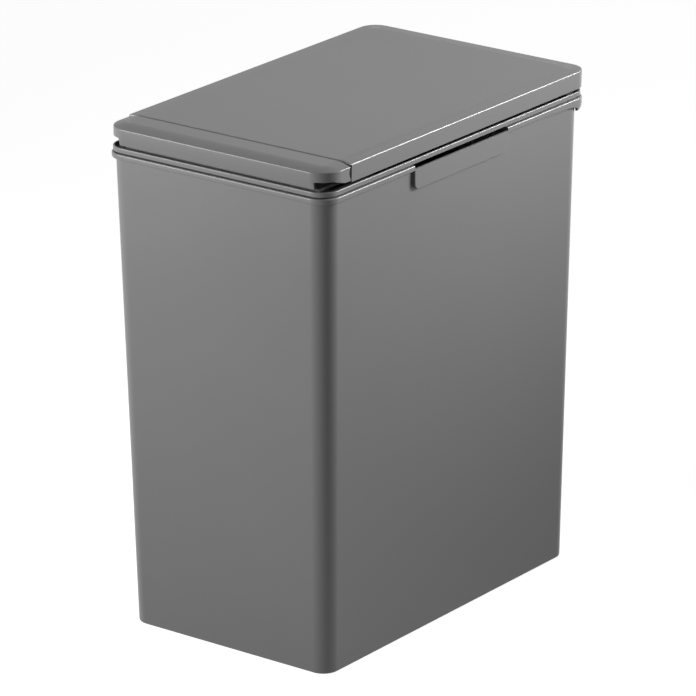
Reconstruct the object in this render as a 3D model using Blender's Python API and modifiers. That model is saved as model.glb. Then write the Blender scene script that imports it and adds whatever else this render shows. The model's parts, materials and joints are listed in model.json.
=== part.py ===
"""Sensor trash can: a drafted plastic bin whose upper frame carries a motor-driven lid.

Metres, +Z up, the sensor end faces -Y. The origin is the centre of the base.
"""
import math

import bmesh
import bpy
from mathutils import Matrix, Vector

OBJECT_NAME = "sensor_trash_can"

# Shared clearances
SEAT_GAP = 0.0003
RUNNING_GAP = 0.0005
CUT_OVERRUN = 0.002
JOIN_DEPTH = 0.0006

# Round pieces and corners
ROUND_SIDES = 16
SMALL_SIDES = 10
CORNER_STEPS = 5
ARC_STEPS = 6

# Bucket: the rim is the widest part, the neck lies under it and the wall is drafted to the base
RIM_HALF_X = 0.0885
RIM_HALF_Y = 0.14055
RIM_Z = 0.320
RIM_HEIGHT = 0.0038
RIM_EDGE = 0.0006
RIM_SIDE_OVERHANG = 0.0021
RIM_FRONT_OVERHANG = 0.0051
RIM_REAR_OVERHANG = 0.0019
RIM_UNDERSIDE_Z = RIM_Z - RIM_HEIGHT
NECK_HALF_X = RIM_HALF_X - RIM_SIDE_OVERHANG
NECK_FRONT_Y = RIM_FRONT_OVERHANG - RIM_HALF_Y
NECK_REAR_Y = RIM_HALF_Y - RIM_REAR_OVERHANG
SIDE_DRAFT = 0.0069
FRONT_DRAFT = 0.0050
REAR_DRAFT = 0.0061
BASE_Z = 0.0008
BASE_HALF_X = NECK_HALF_X - SIDE_DRAFT
BASE_FRONT_Y = NECK_FRONT_Y + FRONT_DRAFT
BASE_REAR_Y = NECK_REAR_Y - REAR_DRAFT
BASE_FILLET = 0.0025
BUCKET_WALL = 0.002
FLOOR_THICKNESS = 0.0035
CORNER_RADIUS = 0.0128

# Front lip of the rim
LIP_SIDE_INSET = 0.0105
LIP_DEPTH = 0.0100
LIP_CURVE = 0.0030
LIP_TUCK = 0.0012
LIP_BEND_SHARE = 1 / 3
LIP_WALL = 0.0016
LIP_HALF_X = RIM_HALF_X - LIP_SIDE_INSET
LIP_BOTTOM_Z = RIM_Z - LIP_DEPTH

# Side grips
GRIP_FRONT_Y = -0.0500
GRIP_REAR_Y = 0.0495
GRIP_SLOT_HEIGHT = 0.0022
GRIP_HEIGHT = 0.0138
GRIP_CORNER = 0.004
GRIP_TOP_Z = RIM_Z - GRIP_SLOT_HEIGHT
GRIP_BOTTOM_Z = GRIP_TOP_Z - GRIP_HEIGHT

# Foot pads
PAD_RADIUS = 0.007
PAD_RECESS = 0.0015
PAD_INSET = 0.016

# Upper frame
FRAME_EDGE_INSET = 0.0009
FRAME_SHADOW_GAP = 0.0012
FRAME_BAND_HEIGHT = 0.0028
FRAME_EDGE = 0.0006
FRAME_FOOT_INSET = 0.0029
FRAME_SKIRT_GAP = 0.0008
FRAME_SKIRT_WALL = 0.002
FRAME_SKIRT_DEPTH = 0.012
FRAME_BAND_Z = RIM_Z + FRAME_SHADOW_GAP
FRAME_TOP_Z = FRAME_BAND_Z + FRAME_BAND_HEIGHT
FRAME_SKIRT_Z = RIM_Z - FRAME_SKIRT_DEPTH
SKIRT_INSET = BUCKET_WALL + FRAME_SKIRT_GAP + FRAME_SKIRT_WALL
SKIRT_INNER_X = NECK_HALF_X - SKIRT_INSET
SKIRT_INNER_Y = NECK_REAR_Y - SKIRT_INSET

# Lid
LID_SIDE_INSET = 0.001
LID_FRONT_INSET = 0.00005
LID_GAP = 0.001
LID_HEIGHT = 0.0125
LID_EDGE = 0.0015
EDGE_MID_SHARE = 0.3
LID_DRAFT = 0.00035
LID_WALL = 0.0018
LID_CORNER = 0.0125
CROWN_RISE = 0.0011
CROWN_REACH = 0.008
LID_REAR_CHAMFER = 0.002
LID_HALF_X = RIM_HALF_X - LID_SIDE_INSET
LID_FRONT_Y = LID_FRONT_INSET - RIM_HALF_Y
LID_SKIRT_Z = FRAME_TOP_Z + LID_GAP
LID_TOP_Z = LID_SKIRT_Z + LID_HEIGHT

# Rear cover
COVER_REAR_INSET = 0.0011
COVER_LENGTH = 0.02495
COVER_GAP = 0.0013
SEAM_GAP = 0.0015
COVER_WALL = 0.002
COVER_FRONT_WALL = 0.0016
COVER_EDGE = 0.0008
COVER_DROP = 0.0009
COVER_REACH = 0.0095
COVER_CORNER = 0.0145
COVER_CORNER_SIDE = 0.0105
COVER_CORNER_DROP = 0.006
COVER_SIDE_RISE = 0.0012
COVER_RAMP_START = 0.0067
COVER_RAMP_LENGTH = 0.01
COVER_SLOT_GAP = 0.002
COVER_REAR_Y = RIM_HALF_Y - COVER_REAR_INSET
SEAM_Y = COVER_REAR_Y - COVER_LENGTH
COVER_BOTTOM_Z = FRAME_TOP_Z + COVER_GAP
COVER_PLATE_HALF_X = LID_HALF_X - COVER_CORNER_SIDE
COVER_CORNER_Z = LID_TOP_Z - COVER_CORNER_DROP
COVER_SIDE_Z = COVER_BOTTOM_Z + COVER_SIDE_RISE
COVER_RAMP_START_Y = SEAM_Y + COVER_RAMP_START
COVER_RAMP_END_Y = COVER_RAMP_START_Y + COVER_RAMP_LENGTH

# Hinge and the deck that carries it
HINGE_INSET = 0.0054
HINGE_DROP = 0.0051
LID_SWING_DEG = 85
PIN_RADIUS = 0.0011
EAR_RADIUS = 0.0024
EAR_INSET = 0.0155
EAR_WIDTH = 0.004
LUG_WIDTH = 0.0036
LUG_HALF_Y = 0.0030
DECK_THICKNESS = 0.002
DECK_OVERLAP = 0.001
HINGE_Y = SEAM_Y - HINGE_INSET
HINGE_Z = LID_TOP_Z - HINGE_DROP
EAR_INNER_X = LID_HALF_X - EAR_INSET
DECK_BOTTOM_Z = FRAME_TOP_Z - DECK_THICKNESS

# Gears
GEAR_MODULE = 0.001
SECTOR_TEETH = 32
PINION_TEETH = 10
GEAR_PLAY = 0.0002
ADDENDUM_SHARE = 0.8
DEDENDUM_SHARE = 1.15
ROOT_WIDTH_SHARE = 0.56
TIP_WIDTH_SHARE = 0.26
PINION_ANGLE_DEG = -125
SECTOR_SPARE_TEETH = 1
SECTOR_INSET = 0.010
GEAR_FACE = 0.004
SECTOR_SIDE_GAP = 0.001
SECTOR_TAB_HEIGHT = 0.004
SECTOR_TAB_LENGTH = 0.012
SECTOR_HUB_RADIUS = 0.0026
SHAFT_RADIUS = 0.0015
SHAFT_IN_CASE = 0.002
SECTOR_X = EAR_INNER_X - SECTOR_INSET
SECTOR_PITCH_RADIUS = SECTOR_TEETH * GEAR_MODULE / 2
PINION_PITCH_RADIUS = PINION_TEETH * GEAR_MODULE / 2
GEAR_CENTRES = SECTOR_PITCH_RADIUS + PINION_PITCH_RADIUS + GEAR_PLAY
PINION_ANGLE = math.radians(PINION_ANGLE_DEG)
PINION_Y = HINGE_Y + GEAR_CENTRES * math.cos(PINION_ANGLE)
PINION_Z = HINGE_Z + GEAR_CENTRES * math.sin(PINION_ANGLE)
SECTOR_REACH = SECTOR_PITCH_RADIUS + ADDENDUM_SHARE * GEAR_MODULE

# Cells and their case, two cells deep and two high
CELL_RADIUS = 0.0072
CELL_LENGTH = 0.0488
CELL_NUB_RADIUS = 0.0027
CELL_NUB_LENGTH = 0.0009
CELL_PLAY = 0.00045
CASE_WALL = 0.0012
CONTACT_THICKNESS = 0.0004
SPRING_RADIUS = 0.003
SPRING_WIRE_RADIUS = 0.00025
SPRING_TURNS = 3
SPRING_PITCH = 0.0011
SPRING_POINTS_A_TURN = 10
SPRING_LENGTH = SPRING_TURNS * SPRING_PITCH + SPRING_WIRE_RADIUS * 2
CELL_SPACING = CELL_RADIUS * 2 + SEAT_GAP
CASE_HALF_Y = CELL_RADIUS * 2 + CELL_PLAY
CASE_HEIGHT = CELL_SPACING + CELL_RADIUS * 2 + SEAT_GAP + CASE_WALL

# Drive tray, which is as deep and as high as the battery case needs
TRAY_SIDE_GAP = 0.001
TRAY_REAR_GAP = 0.00105
TRAY_END_ROOM = 0.004925
TRAY_TOP_ROOM = 0.0033
TRAY_WALL = 0.0018
TRAY_CORNER = 0.006
COLUMN_RADIUS = 0.0042
COLUMN_SHOULDER_DROP = 0.008
POST_GAP = 0.002
POST_WIDTH = 0.003
POST_HALF_Y = 0.0052
POST_RISE = 0.005
BUSH_RADIUS = 0.0038
BUSH_WALL = 0.0018
TRAY_DEPTH = TRAY_WALL + SEAT_GAP + CASE_HEIGHT + TRAY_TOP_ROOM
TRAY_HALF_X = SKIRT_INNER_X - TRAY_SIDE_GAP
TRAY_REAR_Y = SKIRT_INNER_Y - TRAY_REAR_GAP
TRAY_FRONT_Y = TRAY_REAR_Y - (CASE_HALF_Y + CASE_WALL + TRAY_END_ROOM + TRAY_WALL) * 2
DECK_FRONT_Y = TRAY_FRONT_Y - DECK_OVERLAP
TRAY_TOP_Z = DECK_BOTTOM_Z - SEAT_GAP
TRAY_BOTTOM_Z = DECK_BOTTOM_Z - TRAY_DEPTH
TRAY_FLOOR_Z = TRAY_BOTTOM_Z + TRAY_WALL
COLUMN_X = TRAY_HALF_X - TRAY_WALL - COLUMN_RADIUS
COLUMN_FRONT_Y = TRAY_FRONT_Y + TRAY_WALL + COLUMN_RADIUS
COLUMN_REAR_Y = TRAY_REAR_Y - TRAY_WALL - COLUMN_RADIUS
COLUMN_SHOULDER_Z = DECK_BOTTOM_Z - COLUMN_SHOULDER_DROP

# Gearbox and motor
GEARBOX_GAP = 0.0015
GEARBOX_WIDTH = 0.0245
GEARBOX_DEPTH = 0.0269
GEARBOX_TOP_ROOM = 0.0014
GEARBOX_BEVEL = 0.0015
MOTOR_RADIUS = 0.010
MOTOR_SETBACK = 0.0029
MOTOR_SIDES = 22
GEARBOX_RIGHT_X = SECTOR_X - GEARBOX_GAP
GEARBOX_LEFT_X = GEARBOX_RIGHT_X - GEARBOX_WIDTH
GEARBOX_FRONT_Y = TRAY_FRONT_Y + TRAY_WALL + SEAT_GAP
GEARBOX_REAR_Y = GEARBOX_FRONT_Y + GEARBOX_DEPTH
GEARBOX_HEIGHT = TRAY_DEPTH - TRAY_WALL - SEAT_GAP - GEARBOX_TOP_ROOM
MOTOR_Y = GEARBOX_FRONT_Y + MOTOR_SETBACK + MOTOR_RADIUS

# The cells' places in their case, along the case and across it
CASE_SIDE_GAP = 0.0009
CASE_LEFT_X = COLUMN_RADIUS + CASE_SIDE_GAP - COLUMN_X
CASE_INNER_LEFT_X = CASE_LEFT_X + CASE_WALL
CELL_LEFT_X = CASE_INNER_LEFT_X + CONTACT_THICKNESS + SPRING_LENGTH + SEAT_GAP * 3
CELL_RIGHT_X = CELL_LEFT_X + CELL_LENGTH + CELL_NUB_LENGTH
CASE_INNER_RIGHT_X = CELL_RIGHT_X + CONTACT_THICKNESS + SEAT_GAP * 2
CASE_Y = (TRAY_FRONT_Y + TRAY_REAR_Y) / 2
CASE_INNER_LOW_Y = CASE_Y - CASE_HALF_Y
CASE_INNER_HIGH_Y = CASE_Y + CASE_HALF_Y

# Battery door and its rails
DOOR_THICKNESS = 0.0015
DOOR_OVERLAP = 0.0012
DOOR_TRAVEL = 0.054
DOOR_RIB_HEIGHT = 0.001
DOOR_RIB_SPACING = 0.004
DOOR_RIBS = 3
DOOR_RIB_LENGTH_SHARE = 0.4
RAIL_WIDTH = 0.002
RAIL_LIP = 0.001
DOOR_LOW_Y = CASE_INNER_LOW_Y - DOOR_OVERLAP
DOOR_HIGH_Y = CASE_INNER_HIGH_Y + DOOR_OVERLAP

# Control board and power switch
BOARD_SIDE_GAP = 0.0013
BOARD_WIDTH = 0.017
MOTOR_END_GAP = 0.0017
BOARD_FRONT_GAP = 0.0007
BOARD_REAR_GAP = 0.001
BOARD_THICKNESS = 0.0016
BOARD_STANDOFF = 0.004
BOARD_POST_WIDTH = 0.004
SWITCH_INSET = 0.010
SWITCH_RISE = 0.016
SWITCH_BODY_HALF_X = 0.006
SWITCH_BODY_DEPTH = 0.006
SWITCH_BODY_RISE = 0.004
SWITCH_TRAVEL = 0.003
SWITCH_KNOB_WIDTH = 0.003
SWITCH_KNOB_HEIGHT = 0.003
SWITCH_KNOB_PROUD = 0.001
BOARD_LEFT_X = CASE_INNER_RIGHT_X + CASE_WALL + BOARD_SIDE_GAP
BOARD_RIGHT_X = BOARD_LEFT_X + BOARD_WIDTH
MOTOR_LEFT_X = BOARD_RIGHT_X + MOTOR_END_GAP
BOARD_FRONT_Y = TRAY_FRONT_Y + TRAY_WALL + BOARD_FRONT_GAP
BOARD_REAR_Y = TRAY_REAR_Y - TRAY_WALL - BOARD_REAR_GAP
BOARD_Z = TRAY_FLOOR_Z + BOARD_STANDOFF
SWITCH_X = BOARD_RIGHT_X - SWITCH_INSET
SWITCH_Z = TRAY_BOTTOM_Z + SWITCH_RISE
SWITCH_BODY_TOP_Z = SWITCH_Z + SWITCH_BODY_RISE

# Lid liner and sensor
LINER_LIFT = 0.0006
LINER_THICKNESS = 0.0016
LINER_REAR_GAP = 0.01545
LINER_BOTTOM_Z = LID_SKIRT_Z + LINER_LIFT
LINER_TOP_Z = LINER_BOTTOM_Z + LINER_THICKNESS
LINER_REAR_Y = SEAM_Y - LINER_REAR_GAP
LID_CEILING_Z = LID_TOP_Z - LID_WALL + CROWN_RISE / 2
WINDOW_HALF_X = 0.0217
WINDOW_RISE = 0.0028
WINDOW_DROP = 0.0028
WINDOW_LOW_Z = LID_SKIRT_Z + WINDOW_RISE
WINDOW_HIGH_Z = LID_TOP_Z - WINDOW_DROP
WINDOW_THICKNESS = 0.0024
WINDOW_SETBACK = 0.0002
SENSOR_HALF_SPACING = 0.012
SENSOR_RADIUS = 0.0024
SENSOR_LENGTH = 0.0028
SENSOR_BOARD_HALF_X = 0.024
SENSOR_BOARD_THICKNESS = 0.0014
LEAD_X = 0.008
LEAD_WIDTH = 0.006
LEAD_THICKNESS = 0.0008
LEAD_REAR_GAP = 0.0055
LEAD_REAR_Y = LINER_REAR_Y - LEAD_REAR_GAP

# Screws and bumpers
SCREW_RADIUS = 0.0012
SCREW_HEAD_RADIUS = 0.0025
SCREW_HEAD_HEIGHT = 0.0017
SLOT_WIDTH = 0.0007
SLOT_DEPTH = 0.0006
BOSS_RADIUS = 0.003
SCREW_HOLE_RADIUS = SCREW_RADIUS + SEAT_GAP
LINER_SCREW_SIDE = 0.0155
LINER_SCREW_FRONT = 0.0255
LINER_SCREW_REAR = 0.0224
LINER_SCREW_LENGTH = 0.0055
LINER_HEAD_HEIGHT = 0.0008
LINER_SCREW_X = LID_HALF_X - LINER_SCREW_SIDE
LINER_SCREW_FRONT_Y = LID_FRONT_Y + LINER_SCREW_FRONT
LINER_SCREW_REAR_Y = LINER_REAR_Y - LINER_SCREW_REAR
COVER_SCREW_X = 0.040
COVER_SCREW_INSET = 0.01145
COVER_SCREW_LENGTH = 0.009
COVER_SCREW_Y = COVER_REAR_Y - COVER_SCREW_INSET
BUMPER_RADIUS = 0.0025
BUMPER_SIDE = 0.0255
BUMPER_FRONT = 0.0055
BUMPER_X = LID_HALF_X - BUMPER_SIDE
BUMPER_Y = LID_FRONT_Y + BUMPER_FRONT


def reset_scene():
    for obj in list(bpy.data.objects):
        bpy.data.objects.remove(obj, do_unlink=True)
    parts = bpy.data.collections.new(OBJECT_NAME)
    cutters = bpy.data.collections.new(OBJECT_NAME + "_cutters")
    for collection in (parts, cutters):
        bpy.context.scene.collection.children.link(collection)
    return parts, cutters


def finish(name, colour, roughness, metallic=0.0):
    material = bpy.data.materials.new(name)
    material.use_nodes = True
    shader = material.node_tree.nodes["Principled BSDF"]
    shader.inputs["Base Color"].default_value = (*colour, 1.0)
    shader.inputs["Roughness"].default_value = roughness
    shader.inputs["Metallic"].default_value = metallic
    return material


PARTS, CUTTERS = reset_scene()
GREY_PLASTIC = finish("grey_plastic", (0.21, 0.21, 0.215), 0.5)
DARK_PLASTIC = finish("dark_plastic", (0.03, 0.03, 0.032), 0.5)
WHITE_PLASTIC = finish("white_plastic", (0.72, 0.72, 0.68), 0.4)
WINDOW_PLASTIC = finish("window_plastic", (0.012, 0.010, 0.014), 0.12)
BOARD_GREEN = finish("board_green", (0.02, 0.13, 0.06), 0.45)
BRIGHT_STEEL = finish("bright_steel", (0.6, 0.6, 0.61), 0.3, 1.0)
BATTERY_WRAP = finish("battery_wrap", (0.10, 0.10, 0.11), 0.35)
RUBBER = finish("soft_rubber", (0.02, 0.02, 0.02), 0.8)


def add(name, mesh, material, location=(0, 0, 0)):
    """Put a mesh into the scene as a finished part, or as a cutter where it has no material."""
    obj = bpy.data.objects.new(name, mesh)
    obj.location = location
    if material:
        mesh.materials.append(material)
        PARTS.objects.link(obj)
        mesh.shade_smooth()
        mesh.set_sharp_from_angle(angle=math.radians(30))
    else:
        CUTTERS.objects.link(obj)
        obj.hide_render = True
        obj.display_type = "WIRE"
    return obj


def mesh_from(bm, name):
    bmesh.ops.recalc_face_normals(bm, faces=bm.faces)
    mesh = bpy.data.meshes.new(name)
    bm.to_mesh(mesh)
    bm.free()
    return mesh


def box(name, low, high, material=None, bevel=0.0):
    """A block between two corners, with its edges rounded by a Bevel modifier."""
    low, high = Vector(low), Vector(high)
    bm = bmesh.new()
    bmesh.ops.create_cube(bm, size=1.0)
    bmesh.ops.scale(bm, vec=high - low, verts=bm.verts)
    obj = add(name, mesh_from(bm, name), material, (low + high) / 2)
    if bevel:
        rounding = obj.modifiers.new("rounding", "BEVEL")
        rounding.width = bevel
        rounding.segments = 2
    return obj


def rod(name, start, end, radius, material=None, sides=ROUND_SIDES):
    """A cylinder from one point to another."""
    start, end = Vector(start), Vector(end)
    along = end - start
    bm = bmesh.new()
    bmesh.ops.create_cone(bm, cap_ends=True, segments=sides, radius1=radius, radius2=radius,
                          depth=along.length)
    turn = along.to_track_quat("Z", "Y").to_matrix()
    bmesh.ops.rotate(bm, cent=(0, 0, 0), matrix=turn, verts=bm.verts)
    return add(name, mesh_from(bm, name), material, (start + end) / 2)


def prism(name, points, low_x, high_x, material=None, location=(0, 0, 0)):
    """A flat outline of (y, z) points, extruded along X."""
    bm = bmesh.new()
    face = bm.faces.new([bm.verts.new((low_x, y, z)) for y, z in points])
    grown = bmesh.ops.extrude_face_region(bm, geom=[face])
    moved = [item for item in grown["geom"] if isinstance(item, bmesh.types.BMVert)]
    bmesh.ops.translate(bm, vec=(high_x - low_x, 0, 0), verts=moved)
    return add(name, mesh_from(bm, name), material, location)


def arc(centre, radius, start_deg, end_deg, steps=CORNER_STEPS):
    """Points of an arc, or its centre alone where the radius is zero."""
    if radius <= 0:
        return [centre]
    angles = [math.radians(start_deg + (end_deg - start_deg) * i / steps) for i in range(steps + 1)]
    return [(centre[0] + radius * math.cos(a), centre[1] + radius * math.sin(a)) for a in angles]


def outline(half_x, front_y, rear_y, front_radius, rear_radius):
    """A rounded rectangle, counter-clockwise from the front right corner."""
    front_x, back_x = half_x - front_radius, half_x - rear_radius
    return (arc((front_x, front_y + front_radius), front_radius, -90, 0)
            + arc((back_x, rear_y - rear_radius), rear_radius, 0, 90)
            + arc((-back_x, rear_y - rear_radius), rear_radius, 90, 180)
            + arc((-front_x, front_y + front_radius), front_radius, 180, 270))


def loft(name, sections, material=None, closed=False):
    """A skin through level outlines, capped at both ends or closed round on itself."""
    bm = bmesh.new()
    rings = [[bm.verts.new((x, y, z)) for x, y in points] for z, points in sections]
    count = len(rings[0])
    pairs = list(zip(rings, rings[1:]))
    if closed:
        pairs.append((rings[-1], rings[0]))
    else:
        bm.faces.new(rings[0])
        bm.faces.new(rings[-1])
    for lower, upper in pairs:
        for i in range(count):
            j = (i + 1) % count
            bm.faces.new((lower[i], lower[j], upper[j], upper[i]))
    return add(name, mesh_from(bm, name), material)


def rolled_top(edge_z, edge, rise, reach, section):
    """A small edge radius, and behind it a soft roll up to the flat of the top."""
    slow = edge * EDGE_MID_SHARE
    rows = [(edge_z - slow, section(slow)), (edge_z, section(edge))]
    for share in (0.35, 1):
        rows.append((edge_z + rise * (1 - (1 - share) ** 2), section(edge + (reach - edge) * share)))
    return rows


def combine(operation, target, tools):
    for tool in tools:
        step = target.modifiers.new(tool.name, "BOOLEAN")
        step.operation = operation
        step.object = tool
        step.solver = "EXACT"


def join(target, *tools):
    combine("UNION", target, tools)


def cut(target, *tools):
    combine("DIFFERENCE", target, tools)


def carry(name, location, pieces):
    """An empty on a joint's axis, with the pieces that move with it as its children."""
    pivot = bpy.data.objects.new(name, None)
    pivot.location = location
    PARTS.objects.link(pivot)
    for piece in pieces:
        piece.parent = pivot
        piece.matrix_parent_inverse = Matrix.Translation(-Vector(location))
    return pivot


def screw(name, head_end, direction, length, head_height=SCREW_HEAD_HEIGHT):
    """A pan-head screw: its head starts at head_end and its shank runs on along direction."""
    head_end, direction = Vector(head_end), Vector(direction)
    seat = head_end + direction * head_height
    piece = rod(name, head_end, seat, SCREW_HEAD_RADIUS, BRIGHT_STEEL, SMALL_SIDES)
    shank = rod(name + "_shank", seat - direction * head_height / 2, seat + direction * length,
                SCREW_RADIUS, None, SMALL_SIDES)
    across = Vector((SLOT_WIDTH / 2, SCREW_HEAD_RADIUS * 2, 0))
    slot_floor = head_end + direction * min(SLOT_DEPTH, head_height / 2)
    ends = (head_end - direction * CUT_OVERRUN - across, slot_floor + across)
    low = [min(a, b) for a, b in zip(*ends)]
    high = [max(a, b) for a, b in zip(*ends)]
    join(piece, shank)
    cut(piece, box(name + "_slot", low, high))
    return piece


# The bucket


def bucket_section(z, inset):
    """The drafted wall's outline at a height, drawn in by an inset."""
    share = (z - BASE_Z) / (RIM_UNDERSIDE_Z - BASE_Z)
    half_x = BASE_HALF_X + (NECK_HALF_X - BASE_HALF_X) * share - inset
    front_y = BASE_FRONT_Y + (NECK_FRONT_Y - BASE_FRONT_Y) * share + inset
    rear_y = BASE_REAR_Y + (NECK_REAR_Y - BASE_REAR_Y) * share - inset
    radius = CORNER_RADIUS - inset
    return outline(half_x, front_y, rear_y, radius, radius)


def rim_section(inset):
    radius = CORNER_RADIUS - inset
    return outline(RIM_HALF_X - inset, -RIM_HALF_Y + inset, RIM_HALF_Y - inset, radius, radius)


def grip_outline():
    """The grip's lower corners are round and its top is square."""
    low_y, high_y = GRIP_FRONT_Y + GRIP_CORNER, GRIP_REAR_Y - GRIP_CORNER
    low_z = GRIP_BOTTOM_Z + GRIP_CORNER
    return ([(GRIP_FRONT_Y, GRIP_TOP_Z)]
            + arc((low_y, low_z), GRIP_CORNER, 180, 270)
            + arc((high_y, low_z), GRIP_CORNER, 270, 360)
            + [(GRIP_REAR_Y, GRIP_TOP_Z)])


def lip_outline():
    """The front lip: a wall that hangs from the rim and tucks in at its foot, hollow behind."""
    outer = -RIM_HALF_Y
    inner = outer + LIP_WALL
    top_z = RIM_Z - RIM_EDGE * 2
    return [(outer, top_z), (outer, LIP_BOTTOM_Z + LIP_CURVE),
            (outer + LIP_TUCK * LIP_BEND_SHARE, LIP_BOTTOM_Z + LIP_CURVE * LIP_BEND_SHARE),
            (outer + LIP_TUCK, LIP_BOTTOM_Z),
            (inner + LIP_TUCK, LIP_BOTTOM_Z), (inner, LIP_BOTTOM_Z + LIP_CURVE), (inner, top_z)]


def pad_places():
    for x in (-1, 1):
        for y in (BASE_FRONT_Y + PAD_INSET, BASE_REAR_Y - PAD_INSET):
            yield x * (BASE_HALF_X - PAD_INSET), y


def make_bucket():
    slow = BASE_FILLET * (1 - math.cos(math.pi / 4))
    sections = [(BASE_Z, bucket_section(BASE_Z, BASE_FILLET)),
                (BASE_Z + slow, bucket_section(BASE_Z + slow, slow)),
                (BASE_Z + BASE_FILLET, bucket_section(BASE_Z + BASE_FILLET, 0)),
                (RIM_UNDERSIDE_Z, bucket_section(RIM_UNDERSIDE_Z, 0)),
                (RIM_UNDERSIDE_Z, rim_section(RIM_EDGE / 2)),
                (RIM_UNDERSIDE_Z + RIM_EDGE, rim_section(0)),
                (RIM_Z - RIM_EDGE, rim_section(0)),
                (RIM_Z, rim_section(RIM_EDGE)),
                (RIM_Z, bucket_section(RIM_UNDERSIDE_Z, BUCKET_WALL)),
                (BASE_Z + FLOOR_THICKNESS, bucket_section(BASE_Z, BUCKET_WALL))]
    bucket = loft("bucket", sections, GREY_PLASTIC)
    join(bucket, prism("front_lip", lip_outline(), -LIP_HALF_X, LIP_HALF_X))
    for side, word in ((-1, "left"), (1, "right")):
        ends = sorted((side * (NECK_HALF_X - BUCKET_WALL / 2), side * RIM_HALF_X))
        join(bucket, prism("grip_" + word, grip_outline(), *ends))
        near, far = side * (NECK_HALF_X - BUCKET_WALL * 2), side * (RIM_HALF_X + CUT_OVERRUN)
        low = (min(near, far), GRIP_FRONT_Y, GRIP_TOP_Z)
        high = (max(near, far), GRIP_REAR_Y, RIM_Z + CUT_OVERRUN)
        cut(bucket, box("grip_slot_" + word, low, high))
    for number, (x, y) in enumerate(pad_places(), 1):
        top = BASE_Z + PAD_RECESS
        cut(bucket, rod(f"pad_recess_{number}", (x, y, BASE_Z - CUT_OVERRUN), (x, y, top),
                        PAD_RADIUS + SEAT_GAP))
        rod(f"foot_pad_{number}", (x, y, 0), (x, y, top - SEAT_GAP), PAD_RADIUS, RUBBER)
    return bucket


# The upper frame


def skirt_section(inset):
    """The frame's skirt fits inside the bucket's mouth."""
    return bucket_section(RIM_UNDERSIDE_Z, BUCKET_WALL + FRAME_SKIRT_GAP + inset)


def ear_outline():
    stem_z = DECK_BOTTOM_Z + JOIN_DEPTH
    return ([(HINGE_Y + EAR_RADIUS, stem_z)]
            + arc((HINGE_Y, HINGE_Z), EAR_RADIUS, 0, 180, ARC_STEPS)
            + [(HINGE_Y - EAR_RADIUS, stem_z)])


def hinge_rod(name, side, near_x, far_x, radius, material=None):
    return rod(name, (side * near_x, HINGE_Y, HINGE_Z), (side * far_x, HINGE_Y, HINGE_Z),
               radius, material, ROUND_SIDES)


def column_places():
    for x in (-COLUMN_X, COLUMN_X):
        for y in (COLUMN_FRONT_Y, COLUMN_REAR_Y):
            yield x, y


def sector_slot(name, low_z, high_z):
    """Room for the sector gear to swing through a wall."""
    reach = SECTOR_REACH + RUNNING_GAP
    return box(name, (SECTOR_X - SECTOR_SIDE_GAP, HINGE_Y - reach, low_z),
               (SECTOR_X + GEAR_FACE + SECTOR_SIDE_GAP, HINGE_Y + reach, high_z))


def make_lid_frame():
    sections = [(FRAME_BAND_Z, rim_section(FRAME_EDGE_INSET)),
                (FRAME_TOP_Z - FRAME_EDGE, rim_section(FRAME_EDGE_INSET)),
                (FRAME_TOP_Z, rim_section(FRAME_EDGE_INSET + FRAME_EDGE)),
                (FRAME_TOP_Z, skirt_section(FRAME_SKIRT_WALL)),
                (FRAME_SKIRT_Z, skirt_section(FRAME_SKIRT_WALL)),
                (FRAME_SKIRT_Z, skirt_section(0)),
                (RIM_Z + SEAT_GAP, skirt_section(0)),
                (RIM_Z + SEAT_GAP, rim_section(FRAME_FOOT_INSET)),
                (FRAME_BAND_Z, rim_section(FRAME_FOOT_INSET))]
    frame = loft("lid_frame", sections, GREY_PLASTIC, closed=True)
    half_x, rear_y = SKIRT_INNER_X + JOIN_DEPTH, SKIRT_INNER_Y + JOIN_DEPTH
    deck_top = FRAME_TOP_Z - SEAT_GAP
    join(frame, box("deck", (-half_x, DECK_FRONT_Y, DECK_BOTTOM_Z), (half_x, rear_y, deck_top)))
    for side, word in ((-1, "left"), (1, "right")):
        ends = sorted((side * EAR_INNER_X, side * (EAR_INNER_X + EAR_WIDTH)))
        join(frame, prism("ear_" + word, ear_outline(), *ends))
        cut(frame, hinge_rod("ear_hole_" + word, side, EAR_INNER_X - CUT_OVERRUN,
                             EAR_INNER_X + EAR_WIDTH + CUT_OVERRUN, PIN_RADIUS + SEAT_GAP))
        hinge_rod("hinge_pin_" + word, side, EAR_INNER_X, EAR_INNER_X + EAR_WIDTH + SEAT_GAP + LUG_WIDTH,
                  PIN_RADIUS, BRIGHT_STEEL)
        cut(frame, rod("cover_screw_hole_" + word,
                       (side * COVER_SCREW_X, COVER_SCREW_Y, DECK_BOTTOM_Z - CUT_OVERRUN),
                       (side * COVER_SCREW_X, COVER_SCREW_Y, FRAME_TOP_Z + CUT_OVERRUN),
                       SCREW_HOLE_RADIUS, None, SMALL_SIDES))
    for number, (x, y) in enumerate(column_places(), 1):
        cut(frame, rod(f"tray_screw_hole_{number}", (x, y, DECK_BOTTOM_Z - CUT_OVERRUN),
                       (x, y, FRAME_TOP_Z + CUT_OVERRUN), SCREW_HOLE_RADIUS, None, SMALL_SIDES))
    cut(frame, sector_slot("deck_slot", DECK_BOTTOM_Z - CUT_OVERRUN, FRAME_TOP_Z + CUT_OVERRUN))
    for side, word in ((-1, "left"), (1, "right")):
        place = (side * BUMPER_X, BUMPER_Y)
        rod("lid_bumper_" + word, (*place, FRAME_TOP_Z + SEAT_GAP), (*place, LINER_BOTTOM_Z - SEAT_GAP),
            BUMPER_RADIUS, RUBBER, SMALL_SIDES)
    return frame


# The rear cover


def cover_section(inset):
    return outline(LID_HALF_X - inset, SEAM_Y + SEAM_GAP, COVER_REAR_Y - inset, 0,
                   COVER_CORNER - inset)


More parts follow.
